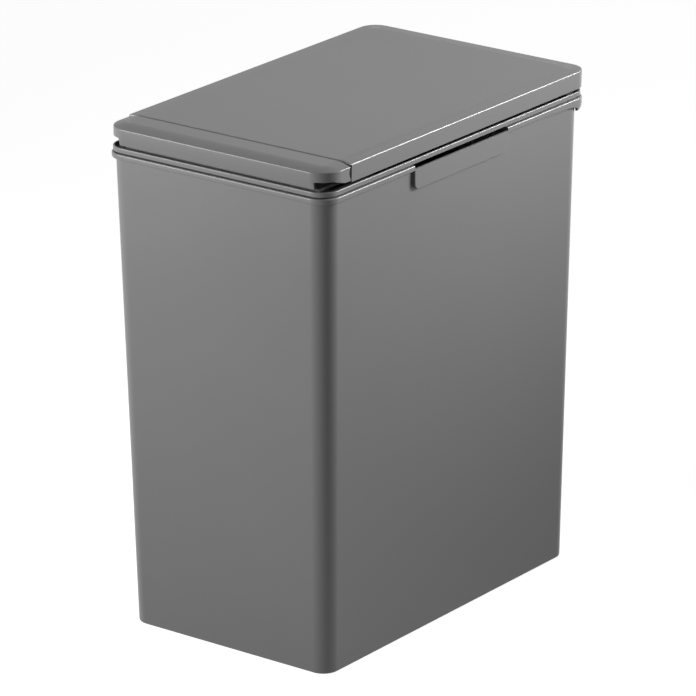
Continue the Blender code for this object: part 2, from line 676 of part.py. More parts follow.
def lid_corner_sweep():
    """How far the lid's chamfered upper rear corner reaches from the hinge axis."""
    height = HINGE_DROP + CROWN_RISE
    return max(math.hypot(HINGE_INSET, height - LID_REAR_CHAMFER),
               math.hypot(HINGE_INSET - LID_REAR_CHAMFER, height))


def corner_relief_outline():
    """Below the cover's rear corners the wall steps up, and slopes down again towards the seam."""
    front_y, rear_y = SEAM_Y - CUT_OVERRUN, COVER_REAR_Y + CUT_OVERRUN
    low_z = COVER_BOTTOM_Z - CUT_OVERRUN
    return [(front_y, low_z), (rear_y, low_z), (rear_y, COVER_CORNER_Z),
            (COVER_RAMP_END_Y, COVER_CORNER_Z), (COVER_RAMP_START_Y, COVER_SIDE_Z),
            (front_y, COVER_SIDE_Z)]


def make_rear_cover():
    edge_z = LID_TOP_Z - COVER_DROP
    sections = [(COVER_BOTTOM_Z, cover_section(0)), (edge_z - COVER_EDGE, cover_section(0))]
    sections += rolled_top(edge_z, COVER_EDGE, COVER_DROP + CROWN_RISE, COVER_REACH, cover_section)
    cover = loft("rear_cover", sections, GREY_PLASTIC)
    sweep = lid_corner_sweep() + RUNNING_GAP
    inner_front_y = HINGE_Y + sweep + COVER_FRONT_WALL
    inner = outline(LID_HALF_X - COVER_WALL, inner_front_y, COVER_REAR_Y - COVER_WALL, 0,
                    COVER_CORNER - COVER_WALL)
    ceiling_z = LID_TOP_Z - COVER_WALL - COVER_DROP / 3
    cut(cover, loft("cover_hollow", [(COVER_BOTTOM_Z - CUT_OVERRUN, inner), (ceiling_z, inner)]))
    wide_x = LID_HALF_X + CUT_OVERRUN
    cut(cover, rod("lid_sweep", (-wide_x, HINGE_Y, HINGE_Z), (wide_x, HINGE_Y, HINGE_Z), sweep,
                   None, ROUND_SIDES * 2))
    for side, word in ((-1, "left"), (1, "right")):
        place = (side * COVER_SCREW_X, COVER_SCREW_Y)
        foot_z = FRAME_TOP_Z + SEAT_GAP
        join(cover, rod("cover_boss_" + word, (*place, foot_z), (*place, ceiling_z + JOIN_DEPTH),
                        BOSS_RADIUS, None, SMALL_SIDES))
        seat_z = DECK_BOTTOM_Z - SEAT_GAP
        cut(cover, rod("cover_boss_hole_" + word, (*place, foot_z - CUT_OVERRUN),
                       (*place, seat_z + COVER_SCREW_LENGTH + RUNNING_GAP), SCREW_HOLE_RADIUS, None,
                       SMALL_SIDES))
        screw("cover_screw_" + word, (*place, seat_z - SCREW_HEAD_HEIGHT), (0, 0, 1),
              COVER_SCREW_LENGTH)
        ends = sorted((side * COVER_PLATE_HALF_X, side * wide_x))
        cut(cover, prism("corner_relief_" + word, corner_relief_outline(), *ends))
    cut(cover, sector_slot("cover_slot", COVER_BOTTOM_Z - CUT_OVERRUN, HINGE_Z - COVER_SLOT_GAP))
    return cover


# The drive tray and what it holds


def tray_section(inset):
    """Square at the front and rounded at the rear, to follow the bucket's corners."""
    return outline(TRAY_HALF_X - inset, TRAY_FRONT_Y + inset, TRAY_REAR_Y - inset, 0,
                   TRAY_CORNER - inset)


def make_drive_tray():
    tray = loft("drive_tray", [(TRAY_BOTTOM_Z, tray_section(0)), (TRAY_TOP_Z, tray_section(0))],
                DARK_PLASTIC)
    cut(tray, loft("tray_hollow", [(TRAY_FLOOR_Z, tray_section(TRAY_WALL)),
                                   (TRAY_TOP_Z + CUT_OVERRUN, tray_section(TRAY_WALL))]))
    for number, (x, y) in enumerate(column_places(), 1):
        join(tray, rod(f"column_{number}", (x, y, TRAY_BOTTOM_Z + JOIN_DEPTH), (x, y, TRAY_TOP_Z),
                       COLUMN_RADIUS + JOIN_DEPTH / 2))
        cut(tray, rod(f"head_bore_{number}", (x, y, TRAY_BOTTOM_Z - CUT_OVERRUN),
                      (x, y, COLUMN_SHOULDER_Z), SCREW_HEAD_RADIUS + RUNNING_GAP))
        cut(tray, rod(f"shank_bore_{number}", (x, y, COLUMN_SHOULDER_Z - CUT_OVERRUN),
                      (x, y, TRAY_TOP_Z + CUT_OVERRUN), SCREW_HOLE_RADIUS, None, SMALL_SIDES))
        head_z = COLUMN_SHOULDER_Z - SEAT_GAP - SCREW_HEAD_HEIGHT
        length = FRAME_TOP_Z - SEAT_GAP * 2 - head_z - SCREW_HEAD_HEIGHT
        screw(f"tray_screw_{number}", (x, y, head_z), (0, 0, 1), length)
    post_x = bearing_post_x()
    join(tray, box("bearing_post", (post_x, PINION_Y - POST_HALF_Y, TRAY_BOTTOM_Z + JOIN_DEPTH),
                   (post_x + POST_WIDTH, PINION_Y + POST_HALF_Y, PINION_Z + POST_RISE)))
    cut(tray, rod("bush_seat", (post_x - CUT_OVERRUN, PINION_Y, PINION_Z),
                  (post_x + POST_WIDTH + CUT_OVERRUN, PINION_Y, PINION_Z), BUSH_RADIUS + SEAT_GAP))
    for number, y in enumerate((BOARD_FRONT_Y, BOARD_REAR_Y - BOARD_POST_WIDTH), 1):
        join(tray, box(f"board_post_{number}",
                       (BOARD_LEFT_X, y, TRAY_BOTTOM_Z + JOIN_DEPTH),
                       (BOARD_RIGHT_X, y + BOARD_POST_WIDTH, BOARD_Z - SEAT_GAP)))
    slot_half_x = (SWITCH_KNOB_WIDTH + SWITCH_TRAVEL) / 2 + RUNNING_GAP
    slot_half_z = SWITCH_KNOB_HEIGHT / 2 + RUNNING_GAP
    cut(tray, box("switch_slot",
                  (SWITCH_X - slot_half_x, TRAY_FRONT_Y - CUT_OVERRUN, SWITCH_Z - slot_half_z),
                  (SWITCH_X + slot_half_x, TRAY_FRONT_Y + TRAY_WALL + CUT_OVERRUN, SWITCH_Z + slot_half_z)))
    cut(tray, box("battery_hatch", (CASE_INNER_LEFT_X, CASE_INNER_LOW_Y, TRAY_BOTTOM_Z - CUT_OVERRUN),
                  (CASE_INNER_RIGHT_X, CASE_INNER_HIGH_Y, TRAY_FLOOR_Z + CUT_OVERRUN)))
    for side in (-1, 1):
        for tool in door_rail(side):
            join(tray, tool)
    return tray


def bearing_post_x():
    return SECTOR_X + GEAR_FACE + POST_GAP


def door_rail(side):
    """An L-shaped rail along the door's edge: a wall beside it and a lip under it."""
    edge_y = DOOR_HIGH_Y if side > 0 else DOOR_LOW_Y
    left_x = CASE_INNER_LEFT_X - DOOR_OVERLAP
    right_x = CASE_INNER_RIGHT_X + DOOR_OVERLAP + DOOR_TRAVEL
    door_bottom_z = TRAY_BOTTOM_Z - SEAT_GAP - DOOR_THICKNESS
    lip_top_z = door_bottom_z - SEAT_GAP
    wall_ends = sorted((edge_y + side * SEAT_GAP, edge_y + side * (SEAT_GAP + RAIL_WIDTH)))
    lip_ends = sorted((edge_y - side * RAIL_LIP, edge_y + side * (SEAT_GAP + RAIL_WIDTH)))
    wall = box(f"rail_wall_{side}", (left_x, wall_ends[0], lip_top_z - RAIL_LIP),
               (right_x, wall_ends[1], TRAY_BOTTOM_Z + JOIN_DEPTH))
    lip = box(f"rail_lip_{side}", (left_x - JOIN_DEPTH, lip_ends[0], lip_top_z - RAIL_LIP - JOIN_DEPTH),
              (right_x + JOIN_DEPTH, lip_ends[1] + JOIN_DEPTH * (side > 0), lip_top_z))
    return wall, lip


def make_battery_door():
    bottom_z = TRAY_BOTTOM_Z - SEAT_GAP - DOOR_THICKNESS
    left_x = CASE_INNER_LEFT_X - DOOR_OVERLAP
    right_x = CASE_INNER_RIGHT_X + DOOR_OVERLAP
    door = box("battery_door", (left_x, DOOR_LOW_Y, bottom_z),
               (right_x, DOOR_HIGH_Y, bottom_z + DOOR_THICKNESS), DARK_PLASTIC)
    half_y = CASE_HALF_Y * DOOR_RIB_LENGTH_SHARE
    for number in range(DOOR_RIBS):
        x = right_x - DOOR_RIB_SPACING * (number + 1)
        join(door, box(f"door_rib_{number + 1}", (x, CASE_Y - half_y, bottom_z - DOOR_RIB_HEIGHT),
                       (x + DOOR_RIB_HEIGHT, CASE_Y + half_y, bottom_z + JOIN_DEPTH)))
    return door


def make_battery_case():
    lower_z = TRAY_FLOOR_Z + SEAT_GAP + CELL_RADIUS
    ceiling_z = lower_z + CELL_SPACING + CELL_RADIUS + SEAT_GAP
    low_y, high_y = CASE_INNER_LOW_Y, CASE_INNER_HIGH_Y
    left_x, right_x = CASE_INNER_LEFT_X, CASE_INNER_RIGHT_X
    bottom_z = TRAY_FLOOR_Z + SEAT_GAP
    case = box("battery_case", (left_x - CASE_WALL, low_y - CASE_WALL, bottom_z),
               (right_x + CASE_WALL, high_y + CASE_WALL, ceiling_z + CASE_WALL), DARK_PLASTIC)
    cut(case, box("case_hollow", (left_x, low_y, bottom_z - CUT_OVERRUN),
                  (right_x, high_y, ceiling_z)))
    plate_low = (left_x + SEAT_GAP, low_y + SEAT_GAP, bottom_z)
    plate_high = (left_x + SEAT_GAP + CONTACT_THICKNESS, high_y - SEAT_GAP, ceiling_z - SEAT_GAP)
    box("contact_plate_left", plate_low, plate_high, BRIGHT_STEEL)
    shift = right_x - SEAT_GAP - CONTACT_THICKNESS - plate_low[0]
    box("contact_plate_right", (plate_low[0] + shift, *plate_low[1:]),
        (plate_high[0] + shift, *plate_high[1:]), BRIGHT_STEEL)
    number = 0
    for y in (CASE_Y - CELL_SPACING / 2, CASE_Y + CELL_SPACING / 2):
        for z in (lower_z, lower_z + CELL_SPACING):
            number += 1
            make_cell(number, y, z)
            make_spring(number, y, z, plate_high[0] + SEAT_GAP)
    return case


def make_cell(number, y, z):
    end_x = CELL_LEFT_X + CELL_LENGTH
    cell = rod(f"battery_cell_{number}", (CELL_LEFT_X, y, z), (end_x, y, z), CELL_RADIUS,
               BATTERY_WRAP)
    join(cell, rod(f"cell_nub_{number}", (end_x - JOIN_DEPTH, y, z), (CELL_RIGHT_X, y, z),
                   CELL_NUB_RADIUS, None, SMALL_SIDES))
    return cell


def make_spring(number, y, z, start_x):
    """A coil of wire between the contact plate and the cell."""
    curve = bpy.data.curves.new(f"contact_spring_{number}", "CURVE")
    curve.dimensions = "3D"
    curve.bevel_depth = SPRING_WIRE_RADIUS
    curve.bevel_resolution = 1
    curve.use_fill_caps = True
    spline = curve.splines.new("POLY")
    steps = SPRING_TURNS * SPRING_POINTS_A_TURN
    spline.points.add(steps)
    for i, point in enumerate(spline.points):
        angle = 2 * math.pi * i / SPRING_POINTS_A_TURN
        along = SPRING_WIRE_RADIUS + SPRING_PITCH * i / SPRING_POINTS_A_TURN
        point.co = (along, SPRING_RADIUS * math.cos(angle), SPRING_RADIUS * math.sin(angle), 1)
    curve.materials.append(BRIGHT_STEEL)
    spring = bpy.data.objects.new(curve.name, curve)
    spring.location = (start_x, y, z)
    PARTS.objects.link(spring)
    return spring


def make_drive():
    case_bottom_z = TRAY_FLOOR_Z + SEAT_GAP
    case = box("gearbox_case", (GEARBOX_LEFT_X, GEARBOX_FRONT_Y, case_bottom_z),
               (GEARBOX_RIGHT_X, GEARBOX_REAR_Y, case_bottom_z + GEARBOX_HEIGHT), WHITE_PLASTIC,
               GEARBOX_BEVEL)
    cut(case, rod("output_bore", (GEARBOX_RIGHT_X - SHAFT_IN_CASE - RUNNING_GAP, PINION_Y, PINION_Z),
                  (GEARBOX_RIGHT_X + CUT_OVERRUN, PINION_Y, PINION_Z), SHAFT_RADIUS + SEAT_GAP))
    motor_right_x = GEARBOX_LEFT_X - SEAT_GAP
    motor_z = case_bottom_z + MOTOR_RADIUS
    rod("gear_motor", (MOTOR_LEFT_X, MOTOR_Y, motor_z),
        (motor_right_x, MOTOR_Y, motor_z), MOTOR_RADIUS, BRIGHT_STEEL, MOTOR_SIDES)
    post_x = bearing_post_x()
    bush = rod("shaft_bush", (post_x, PINION_Y, PINION_Z), (post_x + POST_WIDTH, PINION_Y, PINION_Z),
               BUSH_RADIUS, WHITE_PLASTIC)
    cut(bush, rod("bush_bore", (post_x - CUT_OVERRUN, PINION_Y, PINION_Z),
                  (post_x + POST_WIDTH + CUT_OVERRUN, PINION_Y, PINION_Z), BUSH_RADIUS - BUSH_WALL))
    return case


def make_control_board():
    top_z = BOARD_Z + BOARD_THICKNESS
    box("control_board", (BOARD_LEFT_X, BOARD_FRONT_Y, BOARD_Z),
        (BOARD_RIGHT_X, BOARD_REAR_Y, top_z), BOARD_GREEN)
    back_y = TRAY_FRONT_Y + TRAY_WALL + SEAT_GAP * 2
    box("switch_body", (SWITCH_X - SWITCH_BODY_HALF_X, back_y + SEAT_GAP, top_z + SEAT_GAP),
        (SWITCH_X + SWITCH_BODY_HALF_X, back_y + SWITCH_BODY_DEPTH, SWITCH_BODY_TOP_Z), DARK_PLASTIC)
    left_x = SWITCH_X - (SWITCH_KNOB_WIDTH + SWITCH_TRAVEL) / 2
    return box("power_switch",
               (left_x, TRAY_FRONT_Y - SWITCH_KNOB_PROUD, SWITCH_Z - SWITCH_KNOB_HEIGHT / 2),
               (left_x + SWITCH_KNOB_WIDTH, back_y, SWITCH_Z + SWITCH_KNOB_HEIGHT / 2), WHITE_PLASTIC)


# Gears


def gear_points(teeth, first, count, phase):
    """Tooth by tooth outline of a gear about the origin, from one tooth through the next ones."""
    pitch = 2 * math.pi / teeth
    pitch_radius = teeth * GEAR_MODULE / 2
    root = pitch_radius - DEDENDUM_SHARE * GEAR_MODULE
    tip = pitch_radius + ADDENDUM_SHARE * GEAR_MODULE
    corners = ((root, -ROOT_WIDTH_SHARE / 2), (tip, -TIP_WIDTH_SHARE / 2),
               (tip, TIP_WIDTH_SHARE / 2), (root, ROOT_WIDTH_SHARE / 2))
    points = []
    for tooth in range(first, first + count):
        centre = phase + tooth * pitch
        for radius, share in corners:
            angle = centre + share * pitch
            points.append((radius * math.cos(angle), radius * math.sin(angle)))
    return points


def make_pinion():
    phase = PINION_ANGLE + math.pi + math.pi / PINION_TEETH
    points = gear_points(PINION_TEETH, 0, PINION_TEETH, phase)
    pinion = prism("drive_pinion", points, SECTOR_X, SECTOR_X + GEAR_FACE, WHITE_PLASTIC,
                   (0, PINION_Y, PINION_Z))
    join(pinion, rod("pinion_shaft", (GEARBOX_RIGHT_X - SHAFT_IN_CASE, PINION_Y, PINION_Z),
                     (bearing_post_x() + POST_WIDTH, PINION_Y, PINION_Z), SHAFT_RADIUS))
    return pinion


def make_sector():
    """The toothed fan that hangs from the lid, with a tab that is screwed under the lid's top."""
    swing = math.radians(LID_SWING_DEG)
    teeth = math.ceil(swing / (2 * math.pi / SECTOR_TEETH)) + 1 + SECTOR_SPARE_TEETH * 2
    points = gear_points(SECTOR_TEETH, -SECTOR_SPARE_TEETH, teeth, PINION_ANGLE)
    fan = prism("sector_gear", [(0, 0)] + points, SECTOR_X, SECTOR_X + GEAR_FACE, WHITE_PLASTIC,
                (0, HINGE_Y, HINGE_Z))
    tab_top_z = LID_CEILING_Z - SEAT_GAP
    tab = box("sector_tab", (SECTOR_X, HINGE_Y - SECTOR_TAB_LENGTH, tab_top_z - SECTOR_TAB_HEIGHT),
              (SECTOR_X + GEAR_FACE, HINGE_Y + JOIN_DEPTH, tab_top_z))
    hub = rod("sector_hub", (SECTOR_X, HINGE_Y, HINGE_Z), (SECTOR_X + GEAR_FACE, HINGE_Y, HINGE_Z),
              SECTOR_HUB_RADIUS)
    join(fan, tab, hub)
    return fan


# The lid


def lid_section(inset, rear_inset=0.0):
    return outline(LID_HALF_X - inset, LID_FRONT_Y + inset, SEAM_Y - rear_inset,
                   LID_CORNER - inset, 0)


def rear_edge_chamfer():
    """The upper rear edge is chamfered, so that it swings clear of the cover."""
    peak_z = LID_TOP_Z + CROWN_RISE
    low_z, front_y = peak_z - LID_REAR_CHAMFER, SEAM_Y - LID_REAR_CHAMFER
    over = CUT_OVERRUN
    return [(SEAM_Y + over, low_z - over), (SEAM_Y + over, peak_z + over),
            (front_y - over, peak_z + over)]


def rear_edge_relief():
    """The lower rear edge is trimmed to an arc about the hinge, so that it swings over the deck."""
    radius = HINGE_Z - FRAME_TOP_Z - RUNNING_GAP
    start = -math.degrees(math.acos(HINGE_INSET / radius))
    swept = arc((HINGE_Y, HINGE_Z), radius, start, -90, ARC_STEPS)
    below = LID_SKIRT_Z - CUT_OVERRUN
    beyond = SEAM_Y + CUT_OVERRUN
    return swept + [(HINGE_Y, below), (beyond, below), (beyond, swept[0][1])]


def liner_screw_places():
    for x in (-LINER_SCREW_X, LINER_SCREW_X):
        for y in (LINER_SCREW_FRONT_Y, LINER_SCREW_REAR_Y):
            yield x, y


def make_lid_shell():
    sections = [(LID_CEILING_Z, lid_section(LID_WALL, LID_WALL)),
                (LID_SKIRT_Z, lid_section(LID_WALL, LID_WALL)),
                (LID_SKIRT_Z, lid_section(LID_DRAFT)),
                (LID_TOP_Z - LID_EDGE, lid_section(0))]
    sections += rolled_top(LID_TOP_Z, LID_EDGE, CROWN_RISE, CROWN_REACH, lid_section)
    lid = loft("lid_shell", sections, GREY_PLASTIC)
    wide_x = LID_HALF_X + CUT_OVERRUN
    cut(lid, prism("rear_edge_chamfer", rear_edge_chamfer(), -wide_x, wide_x))
    cut(lid, prism("rear_edge_relief", rear_edge_relief(), -wide_x, wide_x))
    for side, word in ((-1, "left"), (1, "right")):
        near = side * (EAR_INNER_X - RUNNING_GAP)
        far = side * (EAR_INNER_X + EAR_WIDTH + RUNNING_GAP)
        cut(lid, box("ear_notch_" + word,
                     (min(near, far), SEAM_Y - LID_WALL - CUT_OVERRUN, LID_SKIRT_Z - CUT_OVERRUN),
                     (max(near, far), SEAM_Y + CUT_OVERRUN, LID_CEILING_Z)))
        near = EAR_INNER_X + EAR_WIDTH + RUNNING_GAP
        ends = sorted((side * near, side * (near + LUG_WIDTH)))
        join(lid, box("hinge_lug_" + word, (ends[0], HINGE_Y - LUG_HALF_Y, HINGE_Z - LUG_HALF_Y),
                      (ends[1], HINGE_Y + LUG_HALF_Y, LID_CEILING_Z + JOIN_DEPTH)))
        cut(lid, hinge_rod("lug_hole_" + word, side, near - CUT_OVERRUN,
                           near + LUG_WIDTH + CUT_OVERRUN, PIN_RADIUS + SEAT_GAP))
    cut(lid, sector_slot("rear_wall_slot", LID_SKIRT_Z - CUT_OVERRUN, LID_CEILING_Z))
    cut(lid, box("window_opening",
                 (-WINDOW_HALF_X - SEAT_GAP, LID_FRONT_Y - CUT_OVERRUN, WINDOW_LOW_Z - SEAT_GAP),
                 (WINDOW_HALF_X + SEAT_GAP, LID_FRONT_Y + LID_WALL + CUT_OVERRUN / 2,
                  WINDOW_HIGH_Z + SEAT_GAP)))
    for number, (x, y) in enumerate(liner_screw_places(), 1):
        join(lid, rod(f"liner_boss_{number}", (x, y, LINER_TOP_Z + SEAT_GAP),
                      (x, y, LID_CEILING_Z + JOIN_DEPTH), BOSS_RADIUS, None, SMALL_SIDES))
        cut(lid, rod(f"liner_boss_hole_{number}", (x, y, LINER_TOP_Z - CUT_OVERRUN),
                     (x, y, LINER_BOTTOM_Z + LINER_SCREW_LENGTH + RUNNING_GAP), SCREW_HOLE_RADIUS,
                     None, SMALL_SIDES))
    return lid


def make_lid_liner():
    inset = LID_WALL + RUNNING_GAP
    section = outline(LID_HALF_X - inset, LID_FRONT_Y + inset, LINER_REAR_Y, LID_CORNER - inset, 0)
    pieces = [loft("lid_liner", [(LINER_BOTTOM_Z, section), (LINER_TOP_Z, section)], GREY_PLASTIC)]
    for number, (x, y) in enumerate(liner_screw_places(), 1):
        cut(pieces[0], rod(f"liner_hole_{number}", (x, y, LINER_BOTTOM_Z - CUT_OVERRUN),
                           (x, y, LINER_TOP_Z + CUT_OVERRUN), SCREW_HOLE_RADIUS, None, SMALL_SIDES))
        head_z = LINER_BOTTOM_Z - SEAT_GAP - LINER_HEAD_HEIGHT
        pieces.append(screw(f"liner_screw_{number}", (x, y, head_z), (0, 0, 1), LINER_SCREW_LENGTH,
                            LINER_HEAD_HEIGHT))
    return pieces


def make_sensor():
    window_y = LID_FRONT_Y + WINDOW_SETBACK
    window_back_y = window_y + WINDOW_THICKNESS
    window = box("sensor_window", (-WINDOW_HALF_X, window_y, WINDOW_LOW_Z),
                 (WINDOW_HALF_X, window_back_y, WINDOW_HIGH_Z), WINDOW_PLASTIC)
    board_y = window_back_y + SEAT_GAP + SENSOR_LENGTH + SEAT_GAP
    board_back_y = board_y + SENSOR_BOARD_THICKNESS
    floor_z = LINER_TOP_Z + SEAT_GAP
    pieces = [window,
              box("sensor_board", (-SENSOR_BOARD_HALF_X, board_y, floor_z),
                  (SENSOR_BOARD_HALF_X, board_back_y, LID_CEILING_Z - SEAT_GAP), BOARD_GREEN)]
    middle_z = (WINDOW_LOW_Z + WINDOW_HIGH_Z) / 2
    for side, word in ((-1, "infrared_emitter"), (1, "infrared_receiver")):
        x = side * SENSOR_HALF_SPACING
        pieces.append(rod(word, (x, window_back_y + SEAT_GAP, middle_z),
                          (x, board_y - SEAT_GAP, middle_z), SENSOR_RADIUS, WINDOW_PLASTIC))
    pieces.append(box("sensor_lead", (LEAD_X, board_back_y + SEAT_GAP, floor_z),
                      (LEAD_X + LEAD_WIDTH, LEAD_REAR_Y, floor_z + LEAD_THICKNESS), DARK_PLASTIC))
    return pieces


def main():
    make_bucket()
    make_lid_frame()
    make_rear_cover()
    make_drive_tray()
    make_battery_case()
    make_drive()
    carry("battery_door_slide", (0, CASE_Y, TRAY_BOTTOM_Z), [make_battery_door()])
    carry("power_switch_slide", (SWITCH_X, TRAY_FRONT_Y, SWITCH_Z), [make_control_board()])
    carry("pinion_axis", (0, PINION_Y, PINION_Z), [make_pinion()])
    lid_pieces = [make_lid_shell(), make_sector(), *make_lid_liner(), *make_sensor()]
    carry("lid_axis", (0, HINGE_Y, HINGE_Z), lid_pieces)


main()
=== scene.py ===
# %% [markdown]
# # A sensor trash can in grey moulded plastic
#
# The bin has a tall drafted bucket, an upper frame that rests on its rim, and a lid that a small
# motor swings about a hinge under the fixed strip at the back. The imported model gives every
# piece its place. This script gives the visible pieces their fine shape and their finish.

# %% Load the frame
import json
import math

import bmesh
import bpy
from mathutils import Matrix, Vector

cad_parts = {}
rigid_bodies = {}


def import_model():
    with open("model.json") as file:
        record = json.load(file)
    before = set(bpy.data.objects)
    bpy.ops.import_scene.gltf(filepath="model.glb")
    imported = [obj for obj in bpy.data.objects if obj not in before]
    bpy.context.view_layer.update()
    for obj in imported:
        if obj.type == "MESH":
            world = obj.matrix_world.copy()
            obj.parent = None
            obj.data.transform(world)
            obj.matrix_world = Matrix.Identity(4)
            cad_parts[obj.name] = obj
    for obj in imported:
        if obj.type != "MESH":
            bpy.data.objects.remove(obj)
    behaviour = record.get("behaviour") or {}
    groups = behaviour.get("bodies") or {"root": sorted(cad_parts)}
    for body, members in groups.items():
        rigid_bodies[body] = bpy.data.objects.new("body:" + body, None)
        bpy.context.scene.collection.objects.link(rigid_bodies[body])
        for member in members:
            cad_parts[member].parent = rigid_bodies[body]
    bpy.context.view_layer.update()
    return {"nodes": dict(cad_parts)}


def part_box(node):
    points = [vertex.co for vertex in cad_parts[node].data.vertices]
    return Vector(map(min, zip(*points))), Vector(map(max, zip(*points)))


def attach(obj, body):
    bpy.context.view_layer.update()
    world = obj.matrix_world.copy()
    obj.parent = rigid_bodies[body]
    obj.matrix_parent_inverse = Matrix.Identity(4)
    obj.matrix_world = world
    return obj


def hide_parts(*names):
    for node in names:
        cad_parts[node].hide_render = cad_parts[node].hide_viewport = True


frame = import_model()

# %% [markdown]
# The driving sizes of the moulded shells, in metres. They could all be typed in, but the ones that
# a plain solid also carries are read from its box, so that the fine shells sit where the solids
# do. The bucket is given at two heights, at its base and at its neck just under the rim.

# %% Sizes of the shells
MM = 0.001
GAP = 0.3 * MM

bucket_low, bucket_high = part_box("bucket")
lid_low, lid_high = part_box("lid_shell")
cover_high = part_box("rear_cover")[1]
liner_low, liner_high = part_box("lid_liner")

base_z, rim_z = bucket_low.z, bucket_high.z
base_half_x, base_front, base_rear = 79.5 * MM, -130.45 * MM, 132.55 * MM
neck_half_x, neck_front, neck_rear = 86.4 * MM, -135.45 * MM, 138.65 * MM
neck_z = rim_z - 3.8 * MM
wall = 2 * MM
corner, base_corner = 12.8 * MM, 11.2 * MM
rim_half_x, rim_half_y = bucket_high.x, bucket_high.y
band_z = rim_z + 0.7 * MM
band_inset = 0.9 * MM
ring_top = 324 * MM
deck_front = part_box("drive_tray")[0].y - 1 * MM
crown = 0.6 * MM
lid_peak, lid_skirt = lid_high.z, lid_low.z + 1 * MM
lid_top = lid_peak - crown
seam = lid_high.y
hinge_y, hinge_z = seam - 5.4 * MM, lid_peak - 6.2 * MM
print("bucket", [round(v / MM, 1) for v in bucket_high - bucket_low], "mm")
print("hinge at", round(hinge_y / MM, 1), round(hinge_z / MM, 1), "mm")

# %% [markdown]
# A moulded shell is a stack of rounded rectangles with a skin over them. An outline is made once
# from its half width, its two ends and its corner radii, and every shell below is a list of such
# outlines at different heights. Fine steps in the corners keep the silhouette round.

# %% Outlines
STEPS = 14
QUARTER = math.pi / 2


def arc(cx, cy, radius, start, end, steps=STEPS):
    """Points of an arc in degrees, or its centre alone where the radius is zero."""
    if radius <= 0:
        return [(cx, cy)]
    turns = [math.radians(start + (end - start) * i / steps) for i in range(steps + 1)]
    return [(cx + radius * math.cos(t), cy + radius * math.sin(t)) for t in turns]


def outline(half_x, front, rear, front_radius, rear_radius):
    """A rounded rectangle, counter-clockwise seen from above."""
    near_x, far_x = half_x - front_radius, half_x - rear_radius
    return (arc(near_x, front + front_radius, front_radius, -90, 0)
            + arc(far_x, rear - rear_radius, rear_radius, 0, 90)
            + arc(-far_x, rear - rear_radius, rear_radius, 90, 180)
            + arc(-near_x, front + front_radius, front_radius, 180, 270))


def fillet(z, size, section, steps=6, down=False):
    """Sections that round a horizontal edge: the outline draws in as the height reaches z."""
    rows = []
    for i in range(steps + 1):
        turn = QUARTER * i / steps
        inset, rise = size * (1 - math.cos(turn)), size * (1 - math.sin(turn))
        rows.append((z + rise, section(inset)) if down else (z - rise, section(inset)))
    return rows[::-1] if down else rows


def rolled(top, edge, drop, reach, section, power=2.0, steps=6):
    """A crisp edge, and behind it a slope that rises by the drop over the reach.

    A power of 1 is a flat bevel, and 2 is a soft roll that levels out.
    """
    slope = math.atan(power * drop / reach)
    turn = QUARTER - slope
    foot = top - drop - edge * math.sin(turn)
    rows = [(foot + edge * math.sin(turn * i / steps),
             section(edge * (1 - math.cos(turn * i / steps)))) for i in range(steps + 1)]
    start = edge * (1 - math.cos(turn))
    for i in range(1, steps + 1):
        left = 1 - i / steps
        rows.append((top - drop * left ** power, section(start + (reach - start) * i / steps)))
    return rows


print("points in one outline:", len(outline(neck_half_x, neck_front, neck_rear, corner, corner)))

# %% [markdown]
# Blender has several ways to make a solid from outlines. Here the faces between two outlines are
# laid by bmesh, because the sections are unlike: they grow with the draft and then step out for
# the rim. Cuts and small bosses are Boolean modifiers, which keeps each idea on its own line.

# %% Mesh helpers
SIDES = 32
EDGE_WIDTH = 0.8 * MM
SMOOTH_ANGLE, BEVEL_ANGLE = math.radians(40), math.radians(35)
pieces = bpy.data.collections.new("sensor_trash_can")
tools = bpy.data.collections.new("cutters")
for collection in (pieces, tools):
    bpy.context.scene.collection.children.link(collection)


def add(name, bm, place=(0, 0, 0)):
    """Put a bmesh into the scene."""
    bmesh.ops.recalc_face_normals(bm, faces=bm.faces)
    mesh = bpy.data.meshes.new(name)
    bm.to_mesh(mesh)
    bm.free()
    obj = bpy.data.objects.new(name, mesh)
    obj.location = place
    pieces.objects.link(obj)
    return obj


def skin(bm, rings, closed=False):
    """Lay faces between rings of points, capped at the ends or closed round on themselves."""
    pairs = list(zip(rings, rings[1:])) + ([(rings[-1], rings[0])] if closed else [])
    if not closed:
        bm.faces.new(rings[0])
        bm.faces.new(rings[-1])
    for lower, upper in pairs:
        for i in range(len(lower)):
            j = (i + 1) % len(lower)
            bm.faces.new((lower[i], lower[j], upper[j], upper[i]))


def loft(name, sections, closed=False):
    """A shape from a list of (height, outline)."""
    bm = bmesh.new()
    rings = [[bm.verts.new((x, y, z)) for x, y in points] for z, points in sections]
    skin(bm, rings, closed)
    return add(name, bm)


def box(name, low, high):
    """A block between two corners."""
    low, high = Vector(low), Vector(high)
    bm = bmesh.new()
    bmesh.ops.create_cube(bm, size=1)
    bmesh.ops.scale(bm, vec=high - low, verts=bm.verts)
    return add(name, bm, (low + high) / 2)


def side_block(name, side, near, far, low, high):
    """A block between two distances to one side, and between two (y, z) corners."""
    ends = sorted((side * near, side * far))
    return box(f"{name} {side}", (ends[0], *low), (ends[1], *high))


def rod(name, start, end, radius, sides=SIDES):
    """A cylinder from one point to another."""
    start, end = Vector(start), Vector(end)
    along = end - start
    bm = bmesh.new()
    bmesh.ops.create_cone(bm, cap_ends=True, segments=sides, radius1=radius, radius2=radius,
                          depth=along.length)
    turn = along.to_track_quat("Z", "Y").to_matrix()
    bmesh.ops.rotate(bm, cent=(0, 0, 0), matrix=turn, verts=bm.verts)
    return add(name, bm, (start + end) / 2)


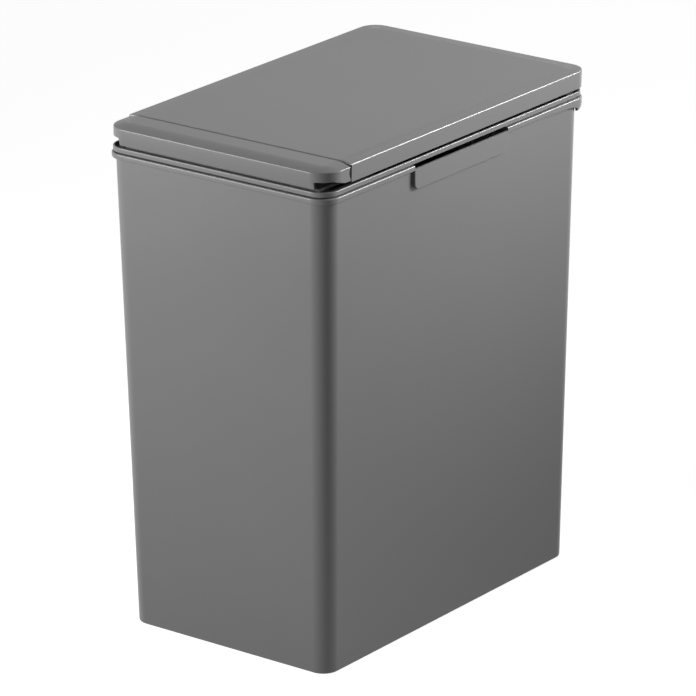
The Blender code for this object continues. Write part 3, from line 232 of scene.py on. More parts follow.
def prism(name, points, low_x, high_x):
    """A flat outline of (y, z) points, extruded along X."""
    bm = bmesh.new()
    face = bm.faces.new([bm.verts.new((low_x, y, z)) for y, z in points])
    grown = bmesh.ops.extrude_face_region(bm, geom=[face])["geom"]
    moved = [item for item in grown if isinstance(item, bmesh.types.BMVert)]
    bmesh.ops.translate(bm, vec=(high_x - low_x, 0, 0), verts=moved)
    return add(name, bm)


def combine(target, operation, others):
    """Boolean each other object into the target or out of it, and hide it as a tool."""
    for other in others:
        pieces.objects.unlink(other)
        tools.objects.link(other)
        other.hide_render = True
        step = target.modifiers.new(other.name, "BOOLEAN")
        step.operation = operation
        step.object = other
        step.solver = "EXACT"


def join(target, *others):
    combine(target, "UNION", others)


def cut(target, *others):
    combine(target, "DIFFERENCE", others)


def mark_edges(mesh):
    """Mark the narrow faces that round an edge, where the painted highlight and the polish gather.
    """
    mark = mesh.attributes.new("edge share", "FLOAT", "FACE")
    for face in mesh.polygons:
        corners = [mesh.vertices[i].co for i in face.vertices]
        longest = max((a - b).length for a, b in zip(corners, corners[1:] + corners[:1]))
        mark.data[face.index].value = float(face.area < longest * EDGE_WIDTH)


def smooth(obj):
    """Shade the piece smooth, with large faces leading, so that flat walls look flat."""
    obj.data.shade_smooth()
    obj.data.set_sharp_from_angle(angle=SMOOTH_ANGLE)
    even = obj.modifiers.new("even shading", "WEIGHTED_NORMAL")
    even.keep_sharp = True
    even.weight = 100
    return obj


def settle(obj, width, segments=3):
    """Apply the Booleans and a bevel, so that the piece holds its final mesh."""
    bevel = obj.modifiers.new("rounded edges", "BEVEL")
    bevel.width = width
    bevel.segments = segments
    bevel.limit_method = "ANGLE"
    bevel.angle_limit = BEVEL_ANGLE
    graph = bpy.context.evaluated_depsgraph_get()
    mesh = bpy.data.meshes.new_from_object(obj.evaluated_get(graph))
    obj.modifiers.clear()
    obj.data = mesh
    for tool in list(tools.objects):
        bpy.data.objects.remove(tool, do_unlink=True)
    mark_edges(mesh)
    return smooth(obj)


print("collections:", pieces.name, tools.name)

# %% [markdown]
# The look of a moulded part comes from small things: a spark-eroded grain a fraction of a
# millimetre wide, a slight unevenness in the gloss, and edges that are less rough and carry a
# painted highlight, a lighter colour along them. Each is a node group with its own inputs, so that
# every plastic here is a few values apart.

# %% Node group helpers


def new_group(name, inputs, outputs):
    """A shader node group with named inputs and outputs."""
    group = bpy.data.node_groups.new(name, "ShaderNodeTree")
    for label, kind, value in inputs:
        socket = group.interface.new_socket(label, in_out="INPUT", socket_type=kind)
        socket.default_value = value
    for label, kind in outputs:
        group.interface.new_socket(label, in_out="OUTPUT", socket_type=kind)
    return group, group.nodes.new("NodeGroupInput"), group.nodes.new("NodeGroupOutput")


FLOAT = "NodeSocketFloat"


def noise_node(tree, scale, detail, place):
    """A noise laid in the object's own coordinates."""
    node = tree.nodes.new("ShaderNodeTexNoise")
    node.inputs["Scale"].default_value = scale
    node.inputs["Detail"].default_value = detail
    tree.links.new(place.outputs["Object"], node.inputs["Vector"])
    return node


def math_node(tree, operation, first, second):
    node = tree.nodes.new("ShaderNodeMath")
    node.operation = operation
    for socket, value in zip(node.inputs, (first, second)):
        if isinstance(value, (int, float)):
            socket.default_value = value
        else:
            tree.links.new(value, socket)
    return node.outputs[0]


print("socket type of the groups:", FLOAT)

# %% [markdown]
# The grain group sums two noises. The fine one is the texture of the mould, and the broad one is
# the slow unevenness of a large flat wall, which shows as clouds in a long highlight.

# %% Grain of the mould
CLOUD_SCALE, CLOUD_DETAIL, FINE_DETAIL = 14.0, 3.0, 2.0


def make_grain_group():
    group, source, result = new_group(
        "mould grain",
        [("Grain Scale", FLOAT, 2600.0), ("Cloud Share", FLOAT, 0.15)],
        [("Height", FLOAT), ("Cloud", FLOAT)])
    place = group.nodes.new("ShaderNodeTexCoord")
    fine = noise_node(group, 1.0, FINE_DETAIL, place)
    group.links.new(source.outputs["Grain Scale"], fine.inputs["Scale"])
    broad = noise_node(group, CLOUD_SCALE, CLOUD_DETAIL, place)
    share = math_node(group, "MULTIPLY", broad.outputs["Fac"], source.outputs["Cloud Share"])
    group.links.new(math_node(group, "ADD", fine.outputs["Fac"], share), result.inputs["Height"])
    group.links.new(broad.outputs["Fac"], result.inputs["Cloud"])
    return group


grain_group = make_grain_group()
print("group:", grain_group.name)

# %% [markdown]
# The convex edges get a painted highlight, a lighter colour, and a lower roughness. Geometry's
# Pointiness could tell them all from flats and hollows, but on a large flat wall it needs a dense
# mesh. So the narrow faces that round an edge are marked as well, and a noise breaks the band up,
# so that it is uneven along an edge.

# %% Edge polish and painted highlight
FLAT_LEVEL = 0.51
PATCH_SCALE, PATCH_DETAIL = 90.0, 4.0


def make_polish_and_highlight_group():
    group, source, result = new_group(
        "edge polish and painted highlight",
        [("Reach", FLOAT, 12.0), ("Strength", FLOAT, 0.5)],
        [("Mask", FLOAT)])
    place = group.nodes.new("ShaderNodeTexCoord")
    shape = group.nodes.new("ShaderNodeNewGeometry")
    marked = group.nodes.new("ShaderNodeAttribute")
    marked.attribute_name = "edge share"
    raised = math_node(group, "SUBTRACT", shape.outputs["Pointiness"], FLAT_LEVEL)
    convex = math_node(group, "MULTIPLY", raised, source.outputs["Reach"])
    edge = math_node(group, "ADD", convex, marked.outputs["Fac"])
    patches = noise_node(group, PATCH_SCALE, PATCH_DETAIL, place)
    broken = math_node(group, "MULTIPLY", edge, patches.outputs["Fac"])
    mask = group.nodes.new("ShaderNodeClamp")
    group.links.new(math_node(group, "MULTIPLY", broken, source.outputs["Strength"]),
                    mask.inputs["Value"])
    group.links.new(mask.outputs[0], result.inputs["Mask"])
    return group


polish_and_highlight_group = make_polish_and_highlight_group()
print("group:", polish_and_highlight_group.name)

# %% [markdown]
# One function then builds any plastic of the bin. The shader keeps what is the same all over,
# and the groups only change colour, roughness and the height of the surface.

# %% Plastics
PLASTIC_IOR = 1.49
TINT_SPREAD, GLOSS_SPREAD = 0.04, 0.04
# How much lighter the edges are painted, as a painted highlight, and how much less rough they are.
EDGE_HIGHLIGHT_TINT, EDGE_POLISH = 1.25, 0.3


def group_node(tree, group, **values):
    node = tree.nodes.new("ShaderNodeGroup")
    node.node_tree = group
    for label, value in values.items():
        node.inputs[label.replace("_", " ")].default_value = value
    return node


def mix_colour(tree, factor, first, second):
    node = tree.nodes.new("ShaderNodeMix")
    node.data_type = "RGBA"
    tree.links.new(factor, node.inputs["Factor"])
    for socket, value in ((node.inputs[6], first), (node.inputs[7], second)):
        if isinstance(value, tuple):
            socket.default_value = (*value, 1)
        else:
            tree.links.new(value, socket)
    return node.outputs[2]


def ramp(tree, value, low, high):
    """Map 0..1 to low..high."""
    node = tree.nodes.new("ShaderNodeMapRange")
    tree.links.new(value, node.inputs["Value"])
    node.inputs["To Min"].default_value = low
    node.inputs["To Max"].default_value = high
    return node.outputs[0]


def shade(colour, share):
    return tuple(min(1.0, c * share) for c in colour)


def new_material(name):
    """A material with its tree and its one main shader."""
    material = bpy.data.materials.new(name)
    material.use_nodes = True
    return material, material.node_tree, material.node_tree.nodes["Principled BSDF"]


def roughen(tree, texture, depth, shader):
    """Let the grain of a texture group raise the surface by a depth."""
    bump = tree.nodes.new("ShaderNodeBump")
    bump.inputs["Distance"].default_value = depth
    tree.links.new(texture.outputs["Height"], bump.inputs["Height"])
    tree.links.new(bump.outputs["Normal"], shader.inputs["Normal"])


def plastic(name, colour, roughness, grain=2600.0, depth=0.012 * MM, polish_and_highlight=0.35, reach=12.0):
    """Moulded plastic with a grained, slightly uneven surface, and edges that are less rough and
    painted lighter as a painted highlight.
    """
    material, tree, shader = new_material(name)
    shader.inputs["IOR"].default_value = PLASTIC_IOR
    texture = group_node(tree, grain_group, Grain_Scale=grain)
    edges = group_node(tree, polish_and_highlight_group, Strength=polish_and_highlight, Reach=reach)
    clouds = mix_colour(tree, texture.outputs["Cloud"], shade(colour, 1 - TINT_SPREAD),
                        shade(colour, 1 + TINT_SPREAD))
    # The edges are painted lighter here: a painted highlight along them.
    highlighted = mix_colour(tree, edges.outputs["Mask"], clouds, shade(colour, EDGE_HIGHLIGHT_TINT))
    tree.links.new(highlighted, shader.inputs["Base Color"])
    rough = ramp(tree, texture.outputs["Cloud"], roughness - GLOSS_SPREAD,
                 roughness + GLOSS_SPREAD)
    polish = math_node(tree, "MULTIPLY", edges.outputs["Mask"], EDGE_POLISH)
    tree.links.new(math_node(tree, "SUBTRACT", rough, polish), shader.inputs["Roughness"])
    roughen(tree, texture, depth, shader)
    return material


GREY = (0.19, 0.19, 0.194)
grey_plastic = plastic("grey satin plastic", GREY, 0.38, polish_and_highlight=0.45, reach=0.0)
dark_plastic = plastic("dark matt plastic", (0.028, 0.028, 0.03), 0.5, grain=1800.0)
white_plastic = plastic("white acetal", (0.7, 0.7, 0.66), 0.35, depth=0.004 * MM, polish_and_highlight=0.1)
window_plastic = plastic("smoked window", (0.01, 0.008, 0.012), 0.08, depth=0.001 * MM, polish_and_highlight=0.1)
rubber = plastic("soft rubber", (0.02, 0.02, 0.021), 0.75, grain=1400.0, depth=0.03 * MM)
wrap = plastic("cell wrap", (0.075, 0.085, 0.1), 0.25, depth=0.002 * MM, polish_and_highlight=0.2)
board_green = plastic("board lacquer", (0.015, 0.12, 0.05), 0.3, depth=0.002 * MM, polish_and_highlight=0.1)
print("plastics:", [material.name for material in bpy.data.materials])

# %% [markdown]
# Zinc-plated screws, springs and the motor can are metal. The same grain group, set coarser, gives
# them the fine bite of the plating, and its broad noise dulls the plating in patches.

# %% Metals
METAL_GRAIN, METAL_CLOUD, METAL_DEPTH = 900.0, 0.5, 0.004 * MM
DULL_TINT, BRIGHT_TINT, POLISHED, DULLED = 0.85, 1.1, 0.08, 0.1


def metal(name, colour, roughness):
    material, tree, shader = new_material(name)
    shader.inputs["Metallic"].default_value = 1.0
    texture = group_node(tree, grain_group, Grain_Scale=METAL_GRAIN, Cloud_Share=METAL_CLOUD)
    tint = mix_colour(tree, texture.outputs["Cloud"], shade(colour, DULL_TINT),
                      shade(colour, BRIGHT_TINT))
    tree.links.new(tint, shader.inputs["Base Color"])
    rough = ramp(tree, texture.outputs["Cloud"], roughness - POLISHED, roughness + DULLED)
    tree.links.new(rough, shader.inputs["Roughness"])
    roughen(tree, texture, METAL_DEPTH, shader)
    return material


steel = metal("zinc plate", (0.6, 0.6, 0.62), 0.3)
slots = {"grey_plastic": grey_plastic, "dark_plastic": dark_plastic,
         "white_plastic": white_plastic, "window_plastic": window_plastic,
         "soft_rubber": rubber, "battery_wrap": wrap, "board_green": board_green,
         "bright_steel": steel}
print("metal:", steel.name)


def paint(obj, material):
    obj.data.materials.clear()
    obj.data.materials.append(material)


def seat(obj, body, slot, *nodes):
    """Give a finished piece its finish, its body and the plain solids it stands for."""
    paint(obj, slots[slot])
    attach(obj, body)
    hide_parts(*nodes)
    print(f"{obj.name}: {len(obj.data.polygons)} faces, rides on {body}")


# %% [markdown]
# The bucket is one moulding. Its wall leans out by about a degree so that it leaves the mould,
# and at the top it turns out into a rim. The inside follows the outside one wall thickness in,
# and a low bead runs round the base. A solid with a Solidify modifier would give one wall
# thickness all over, so the inside is lofted too, and the floor can be thicker than the wall.

# %% The bucket's body


def body_section(z, inset):
    share = (z - base_z) / (neck_z - base_z)
    radius = base_corner + (corner - base_corner) * share - inset
    return outline(base_half_x + (neck_half_x - base_half_x) * share - inset,
                   base_front + (neck_front - base_front) * share + inset,
                   base_rear + (neck_rear - base_rear) * share - inset, radius, radius)


def rim_section(inset):
    return outline(rim_half_x - inset, -rim_half_y + inset, rim_half_y - inset,
                   corner - inset, corner - inset)


base_edge, base_low = 1.3 * MM, 0.3 * MM
bead_inner, bead_flank = 6.3 * MM, 0.7 * MM
rim_edge = 0.9 * MM
rim_bead = 1.0 * MM
rim_chamfer = 0.4 * MM
floor_thickness, floor_round, floor_flank = 3.5 * MM, 0.9 * MM, 3 * MM


def make_bucket():
    floor_z = base_z + floor_thickness
    sections = [(base_z, body_section(base_z, bead_inner + bead_flank)),
                (base_low, body_section(base_z, bead_inner))]
    sections += fillet(base_low, base_edge, lambda inset: body_section(base_z, inset), 7, True)
    sections += [(neck_z, body_section(neck_z, 0))]
    sections += fillet(neck_z, rim_bead, rim_section, 7, True)
    sections += fillet(rim_z, rim_edge, rim_section, 5)
    sections += [(rim_z, body_section(neck_z, wall - rim_chamfer)),
                 (rim_z - rim_chamfer, body_section(neck_z, wall)),
                 (floor_z + floor_flank, body_section(base_z, wall)),
                 (floor_z + floor_round, body_section(base_z, wall + floor_round)),
                 (floor_z, body_section(base_z, wall + floor_flank))]
    return loft("bucket_shell", sections)


bucket = make_bucket()
print("bucket faces:", len(bucket.data.polygons))

# %% [markdown]
# Each long side has a grip: a panel that stands out level with the rim, and above it a slot
# where the fingers go under the upper frame. The front of the rim is deeper and curls in towards
# the wall like a gutter. It fades out along the sides, and ends just behind the front corners.
# The curl is lofted all the way round and cut off behind the corners, since that keeps its corners
# true to the rim's.

# %% Grips and front lip
grip_front, grip_rear = -50 * MM, 49.5 * MM
grip_top, grip_bottom = 317.8 * MM, 304 * MM
grip_corner, grip_wall, grip_pocket = 4 * MM, 1.3 * MM, 309 * MM
grip_sink, grip_roll, grip_roll_angle = 0.9 * wall, 0.4 * MM, math.radians(60)
lip_fade, lip_end, lip_corner_y = -52 * MM, -114 * MM, -131 * MM
lip_bottom, lip_turn, lip_tuck, lip_wall = 310 * MM, 5.5 * MM, 3.9 * MM, 1.2 * MM
lip_root, lip_fade_depth, lip_side_depth, lip_clear = 1.6 * MM, 1.8 * MM, 4.2 * MM, 1.5 * MM
LIP_STEPS = 8
lip_angles = [QUARTER * i / LIP_STEPS for i in range(LIP_STEPS + 1)]


def grip_points():
    """The panel seen from the side: square at the top, with two round corners below."""
    low_y, high_y = grip_front + grip_corner, grip_rear - grip_corner
    low_z = grip_bottom + grip_corner
    return ([(grip_front, grip_top)] + arc(low_y, low_z, grip_corner, 180, 270, LIP_STEPS)
            + arc(high_y, low_z, grip_corner, 270, 360, LIP_STEPS) + [(grip_rear, grip_top)])


def make_lip():
    """A wall that drops from the rim and turns in by a quarter of an ellipse, all the way round."""
    top_z, turn_z = rim_z - lip_root, lip_bottom + lip_turn
    outer = [(turn_z - lip_turn * math.sin(a), lip_tuck * (1 - math.cos(a))) for a in lip_angles]
    inner = [(turn_z - (lip_turn - lip_wall) * math.sin(a),
              lip_wall + (lip_tuck - lip_wall) * (1 - math.cos(a))) for a in reversed(lip_angles)]
    rows = [(top_z, 0)] + outer + inner + [(top_z, lip_wall)]
    return loft("front lip", [(z, rim_section(inset)) for z, inset in rows], closed=True)


def behind_lip():
    """What is cut off the lip: it fades out along the sides and ends behind the corners."""
    low, beyond = lip_bottom - wall, rim_half_y + wall
    end_z, top_z = rim_z - lip_side_depth, rim_z - lip_clear
    falling = [(lip_end - (lip_end - lip_corner_y) * math.sin(a),
                lip_bottom + (end_z - lip_bottom) * math.cos(a)) for a in lip_angles]
    return ([(lip_fade, rim_z - lip_fade_depth)] + falling
            + [(lip_corner_y, low), (beyond, low), (beyond, top_z), (lip_fade, top_z)])


lip = make_lip()
cut(lip, prism("behind lip", behind_lip(), -2 * rim_half_x, 2 * rim_half_x))
join(bucket, lip)
hidden_x = neck_half_x - 2 * wall
for side in (-1, 1):
    ends = sorted((side * (neck_half_x - grip_sink), side * rim_half_x))
    grip = prism(f"grip {side}", grip_points(), *ends)
    roll = grip.modifiers.new("rolled edge", "BEVEL")
    roll.width, roll.segments, roll.angle_limit = grip_roll, 3, grip_roll_angle
    join(bucket, grip)
    cut(bucket,
        side_block("grip slot", side, hidden_x, rim_half_x + wall,
                   (grip_front, grip_top), (grip_rear, rim_z + wall)),
        side_block("grip pocket", side, hidden_x, rim_half_x - grip_wall,
                   (grip_front + grip_wall, grip_pocket),
                   (grip_rear - grip_wall, grip_top + wall)))
for number in range(1, 5):
    pad_low, pad_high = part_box(f"foot_pad_{number}")
    middle = (pad_low + pad_high) / 2
    cut(bucket, rod(f"pad recess {number}", (middle.x, middle.y, -wall),
                    (middle.x, middle.y, pad_high.z + GAP), (pad_high.x - pad_low.x) / 2 + GAP))
settle(bucket, width=0.35 * MM)
seat(bucket, "bucket", "grey_plastic", "bucket")

# %% [markdown]
# The upper frame is a second moulding. Its band shows as a thin line above the rim, with a
# shadow gap under it. A skirt locates it in the bucket's mouth, and a deck at the back carries
# the hinge ears and covers the drive.

# %% The upper frame
skirt_gap, skirt_wall, skirt_bottom = 0.8 * MM, 2 * MM, 308 * MM
deck_thickness = 2 * MM
deck_bottom = ring_top - deck_thickness
band_round, band_chamfer, band_top_round = 0.5 * MM, 0.15 * MM, 0.6 * MM
bead_width, bead_round, bead_foot = 1.1 * MM, 0.2 * MM, 0.3 * MM
seat_inset = 2.9 * MM
channel_z = ring_top - 2.6 * MM


def skirt_section(inset):
    return body_section(neck_z, wall + skirt_gap + inset)


def make_upper_frame():
    def band(inset):
        return rim_section(band_inset + inset)

    sections = [(band_z, band(band_round)), (band_z + band_chamfer, band(band_chamfer)),
                (band_z + band_round, band(0))]
    sections += fillet(ring_top, band_top_round, band, 5)
    sections += [(ring_top, band(bead_width)),
                 (ring_top - bead_round, band(bead_width + bead_round)),
                 (channel_z, band(bead_width + bead_foot)),
                 (channel_z, skirt_section(skirt_wall)),
                 (skirt_bottom, skirt_section(skirt_wall)),
                 (skirt_bottom, skirt_section(0)),
                 (rim_z + GAP, skirt_section(0)),
                 (rim_z + GAP, rim_section(seat_inset)),
                 (band_z, rim_section(seat_inset))]
    return loft("upper_frame_shell", sections, closed=True)


upper_frame = make_upper_frame()
deck_half_x, deck_plate, deck_step, lap = 76.6 * MM, 0.4 * MM, 0.5 * MM, 0.1 * MM
skirt_lap, deck_top = 0.6 * MM, ring_top - 0.2 * MM
inner_rear = neck_rear - wall - skirt_gap - skirt_wall + skirt_lap
join(upper_frame,
     box("deck", (-deck_half_x, deck_front, deck_bottom),
         (deck_half_x, inner_rear, deck_bottom + deck_plate)),
     box("raised deck", (-deck_half_x + deck_step, deck_front, deck_bottom + lap),
         (deck_half_x - deck_step, inner_rear - 2 * MM, deck_top)))
print("upper frame faces before the cuts:", len(upper_frame.data.polygons))

# %% [markdown]
# The ears that hold the hinge pins rise from the deck inside the lid. A rib in front stiffens
# each, as a moulder would do to keep the wall thin. The slot lets the toothed fan of the lid swing
# down. Each cutter is a block or a rod of its own, so that one measure can change without the rest.

# %% Ears, slot and pin holes
ear_radius, pin_radius = 2.4 * MM, 1.1 * MM
ear_inner, ear_width = 72 * MM, 4 * MM
gear_low, gear_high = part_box("sector_gear")
gear_reach, gear_side = 17.3 * MM, 1 * MM
rib_lap, rib_drop, rib_reach, rib_half = 0.5 * MM, 2.6 * MM, 8 * MM, 0.6 * MM
ear_foot = deck_bottom + 0.6 * MM
finger_inner, finger_outer, finger_rise = 6 * MM, 0.4 * MM, 3 * MM


def ear_points():
    return ([(hinge_y + ear_radius, ear_foot)] + arc(hinge_y, hinge_z, ear_radius, 0, 180, 12)
            + [(hinge_y - ear_radius, ear_foot)])


def rib_points():
    """A low triangular rib in front of an ear."""
    back = hinge_y - ear_radius + rib_lap
    return [(back, hinge_z - rib_drop), (hinge_y - rib_reach, ear_foot), (back, ear_foot)]


def pin_hole(name, low_x, high_x):
    """A rod that drills a hinge hole right through what lies between two x."""
    return rod(name, (low_x - wall, hinge_y, hinge_z), (high_x + wall, hinge_y, hinge_z),
               pin_radius + GAP)


def fan_slot(name, low_z, high_z):
    """Room for the toothed fan, as a block between two heights."""
    return box(name, (gear_low.x - gear_side, hinge_y - gear_reach, low_z),
               (gear_high.x + gear_side, hinge_y + gear_reach, high_z))


for side in (-1, 1):
    ends = sorted((side * ear_inner, side * (ear_inner + ear_width)))
    centre = side * (ear_inner + ear_width / 2)
    join(upper_frame, prism(f"ear {side}", ear_points(), *ends),
         prism(f"rib {side}", rib_points(), centre - rib_half, centre + rib_half))
    cut(upper_frame, pin_hole(f"ear hole {side}", *ends))
for side in (-1, 1):
    cut(upper_frame,
        side_block("finger room", side, neck_half_x - finger_inner,
                   neck_half_x - wall - finger_outer,
                   (grip_front, skirt_bottom + finger_rise), (grip_rear, rim_z + lap)))
cut(upper_frame, fan_slot("deck slot", deck_bottom - wall, ring_top + wall))
settle(upper_frame, width=0.25 * MM)
seat(upper_frame, "upper_frame", "grey_plastic", "lid_frame")

# %% [markdown]
# The lid is a shallow tray turned over. Its top edge has only a small radius, which catches the
# light as one thin bright line, and behind the edge a border slopes up to the flat top. The wall
# at the seam is straight, because the fixed strip continues the lid's sides. A lofted stack of
# outlines gives the border an exact width, where a bevel would round it away.

# %% The lid
lid_half_x, lid_front = lid_high.x + 0.9 * MM, lid_low.y
lid_corner, lid_edge, lid_wall, lid_draft = 12.5 * MM, 1 * MM, 1.8 * MM, 0.35 * MM
crown_reach, crown_power, rear_edge = 11 * MM, 1.1, 1.6 * MM
lid_foot, corner_limit, deck_clear = 0.3 * MM, 9 * MM, 0.5 * MM
ceiling = lid_top - lid_wall + crown / 2


def lid_section(inset, rear_inset=0.0):
    return outline(lid_half_x - inset, lid_front + inset, seam - rear_inset,
                   lid_corner - min(inset, corner_limit), 0)


def swing_relief():
    """The lower rear edge follows an arc about the hinge, so that it clears the deck."""
    radius = hinge_z - ring_top - deck_clear
    start = -math.degrees(math.acos((seam - hinge_y) / radius))
    swept = arc(hinge_y, hinge_z, radius, start, -90, 8)
    return swept + [(hinge_y, lid_skirt - wall), (seam + wall, lid_skirt - wall),
                    (seam + wall, swept[0][1])]


def make_lid():
    sections = [(ceiling, lid_section(lid_wall, lid_wall)),
                (lid_skirt, lid_section(lid_wall, lid_wall)),
                (lid_skirt, lid_section(lid_draft + lid_foot)),
                (lid_skirt + lid_foot, lid_section(lid_draft))]
    sections += rolled(lid_peak, lid_edge, crown, crown_reach, lid_section, crown_power)
    return loft("lid_top_shell", sections)


def rear_round():
    """What is cut off to round the top edge at the seam."""
    above, beyond = lid_peak + wall, seam + wall
    return (arc(seam - rear_edge, lid_peak - rear_edge, rear_edge, 90, 0, 8)
            + [(beyond, lid_peak - rear_edge), (beyond, above), (seam - rear_edge, above)])


lid = make_lid()
wide = lid_half_x + wall
cut(lid, prism("rear round", rear_round(), -wide, wide),
    prism("swing relief", swing_relief(), -wide, wide))
lug_width, lug_half, lug_root = 3.6 * MM, 3 * MM, 0.6 * MM
notch_gap, window_depth = 0.5 * MM, 1 * MM
near = ear_inner + ear_width + notch_gap
for side in (-1, 1):
    cut(lid, side_block("ear notch", side, ear_inner - notch_gap, near,
                        (seam - lid_wall - wall, lid_skirt - wall), (seam + wall, ceiling)))
    join(lid, side_block("lug", side, near, near + lug_width,
                         (hinge_y - lug_half, hinge_z - lug_half),
                         (hinge_y + lug_half, ceiling + lug_root)))
    ends = sorted((side * near, side * (near + lug_width)))
    cut(lid, pin_hole(f"lug hole {side}", *ends))
cut(lid, fan_slot("fan slot", lid_skirt - wall, ceiling))
window_low, window_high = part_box("sensor_window")
cut(lid, box("window opening", (window_low.x - GAP, lid_front - wall, window_low.z - GAP),
             (window_high.x + GAP, lid_front + lid_wall + window_depth, window_high.z + GAP)))
settle(lid, width=0.2 * MM)
seat(lid, "lid", "grey_plastic", "lid_shell")

# %% [markdown]
# The fixed strip behind the lid slopes down to its rear edge, and its rear face leans in towards
# the foot, as a moulded wall does. Its rear corners overhang: the plate under them stops short,
# so that each corner stands free above the frame. One loft gives the outside, and the hollow,
# the room for the lid's swing and the two corners are cut out of it.

# %% The rear cover
cover_rear, cover_bottom = cover_high.y, 325.3 * MM
cover_corner, cover_edge, cover_wall = 14.5 * MM, 0.8 * MM, 2 * MM
cover_drop, cover_reach, cover_power, seam_gap = 2.0 * MM, 10.5 * MM, 1.6, 1.5 * MM
sweep = (math.hypot(seam - hinge_y - rear_edge, lid_peak - hinge_z - rear_edge) + rear_edge
         + GAP)
cover_front = seam + seam_gap
cover_steps, sweep_wall, sweep_sides, fan_drop = 10, 1.6 * MM, 96, 2 * MM
plate_half_x, corner_z, side_z = 77 * MM, 330.3 * MM, 327.4 * MM
rear_draft = 1.2 * MM
ramp_start, ramp_end = 121.2 * MM, 131.2 * MM


def cover_section(inset):
    return outline(lid_half_x - inset, cover_front, cover_rear - inset, 0, cover_corner - inset)


def corner_relief():
    low, beyond = cover_bottom - wall, cover_rear + wall
    return [(seam - wall, low), (beyond, low), (beyond, corner_z), (ramp_end, corner_z),
            (ramp_start, side_z), (seam - wall, side_z)]


def make_rear_cover():
    foot = outline(lid_half_x, cover_front, cover_rear - rear_draft, 0, cover_corner)
    cover = loft("rear_cover_shell", [(cover_bottom, foot), (corner_z, cover_section(0))]
                 + rolled(lid_peak, cover_edge, cover_drop, cover_reach, cover_section,
                          cover_power, cover_steps))
    hollow_front = hinge_y + sweep + sweep_wall
    hollow = outline(lid_half_x - cover_wall, hollow_front, cover_rear - cover_wall, 0,
                     cover_corner - cover_wall)
    top = lid_peak - cover_drop - cover_wall * 0.7
    cut(cover, loft("cover hollow", [(cover_bottom - wall, hollow), (top, hollow)]),
        rod("lid sweep", (-wide, hinge_y, hinge_z), (wide, hinge_y, hinge_z), sweep,
            sides=sweep_sides))
    for side in (-1, 1):
        ends = sorted((side * plate_half_x, side * wide))
        cut(cover, prism(f"corner relief {side}", corner_relief(), *ends))
    cut(cover, fan_slot("fan slot", cover_bottom - wall, hinge_z - fan_drop))
    return cover


rear_cover = make_rear_cover()
settle(rear_cover, width=0.25 * MM)
seat(rear_cover, "upper_frame", "grey_plastic", "rear_cover")

# %% [markdown]
# Inside the lid a liner closes the hollow. It is a thin panel with a raised border, and shallow
# ribs across it that keep the panel from drumming. The ribs are joined on as blocks, because a
# grid of cuts would need many more.

# %% The lid liner
liner_inset, liner_corner_limit = lid_wall + 0.5 * MM, 6 * MM
border_width, border_height, border_flank, border_round = 4 * MM, 0.5 * MM, 0.6 * MM, 0.2 * MM
rib_count, rib_half_x, rib_width, rib_height = 5, 60 * MM, 1.6 * MM, 1 * MM
rib_inset = 0.05 * MM


def liner_section(inset):
    return outline(lid_half_x - liner_inset - inset, lid_front + liner_inset + inset,
                   liner_high.y - inset,
                   lid_corner - liner_inset - min(inset, liner_corner_limit), 0)


def make_liner():
    z = liner_low.z
    sections = [(liner_high.z, liner_section(0)), (z + border_round, liner_section(0)),
                (z, liner_section(border_round)), (z, liner_section(border_width)),
                (z + border_height, liner_section(border_width + border_flank))]
    return loft("lid_liner_panel", sections)


liner = make_liner()
for number in range(rib_count):
    y = liner_low.y + (liner_high.y - liner_low.y) * (number + 1) / (rib_count + 1)
    join(liner,
         box(f"liner rib {number}", (-rib_half_x, y - rib_width / 2, liner_low.z + rib_inset),
             (rib_half_x, y + rib_width / 2, liner_low.z + rib_height)))
settle(liner, width=0.15 * MM, segments=2)
seat(liner, "lid", "grey_plastic", "lid_liner")

# %% [markdown]
# Some small parts are round. A cell is a drawn steel can in a shrink wrap, with a raised nub at its
# positive end, and an infrared diode is a lens moulded over a flange. Joined cylinders could stand
# for them, but a profile of distances and radii, swept round a line, has their true steps.

# %% Turned pieces


def lathe(name, start, toward, profile):
    """A turned shape from (distance, radius) pairs in mm, along the line from start."""
    start = Vector(start)
    turn = (Vector(toward) - start).to_track_quat("Z", "Y").to_matrix()
    bm = bmesh.new()
    rings = []
    for distance, radius in profile:
        points = arc(0, 0, radius * MM, 0, 360, SIDES)[:-1]
        rings.append([bm.verts.new(start + turn @ Vector((x, y, distance * MM)))
                      for x, y in points])
    skin(bm, rings)
    return add(name, bm)


def second_finish(obj, material, test):
    """Give the faces whose centre passes the test a second material."""
    obj.data.materials.append(material)
    for face in obj.data.polygons:
        if test(face.center):
            face.material_index = 1


def middle_line(name, axis):
    """The two ends of the line through the middle of a plain solid."""
    low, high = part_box(name)
    start, end = (low + high) / 2, (low + high) / 2
    start[axis], end[axis] = low[axis], high[axis]
    return start, end


X, Y, Z = range(3)
CELL = [(0.4, 4.6), (0, 5.0), (0, 6.3), (0.3, 6.8), (0.7, 7.15), (48.0, 7.15), (48.4, 6.8),
        (48.4, 3.0), (49.3, 2.9), (49.6, 2.4)]
PAD = [(0.4, 3.4), (0, 3.9), (0, 6.3), (0.3, 6.8), (0.7, 6.95), (1.9, 6.95)]
BUMPER = [(0, 2.45), (0.4, 2.45), (0.75, 2.0), (0.95, 1.0)]
DIODE = [(0, 2.35), (0.7, 2.35), (0.75, 2.0), (1.4, 2.0), (2.0, 1.8), (2.45, 1.2), (2.7, 0.4)]
PIN = [(0, 0.8), (0.3, 1.08), (7.5, 1.08), (7.8, 0.8)]
cell_cap = 1.5 * MM
print("profiles:", len(CELL), len(PAD), len(BUMPER), len(DIODE), len(PIN), "points")

# %% [markdown]
# The flat end of each cell rests against its spring, which tells which way round it lies. Its two
# ends are bare steel, so the faces near them get the metal. The other round parts need one line
# of a table each: their axis, whether they face the low end, their profile and their finish.

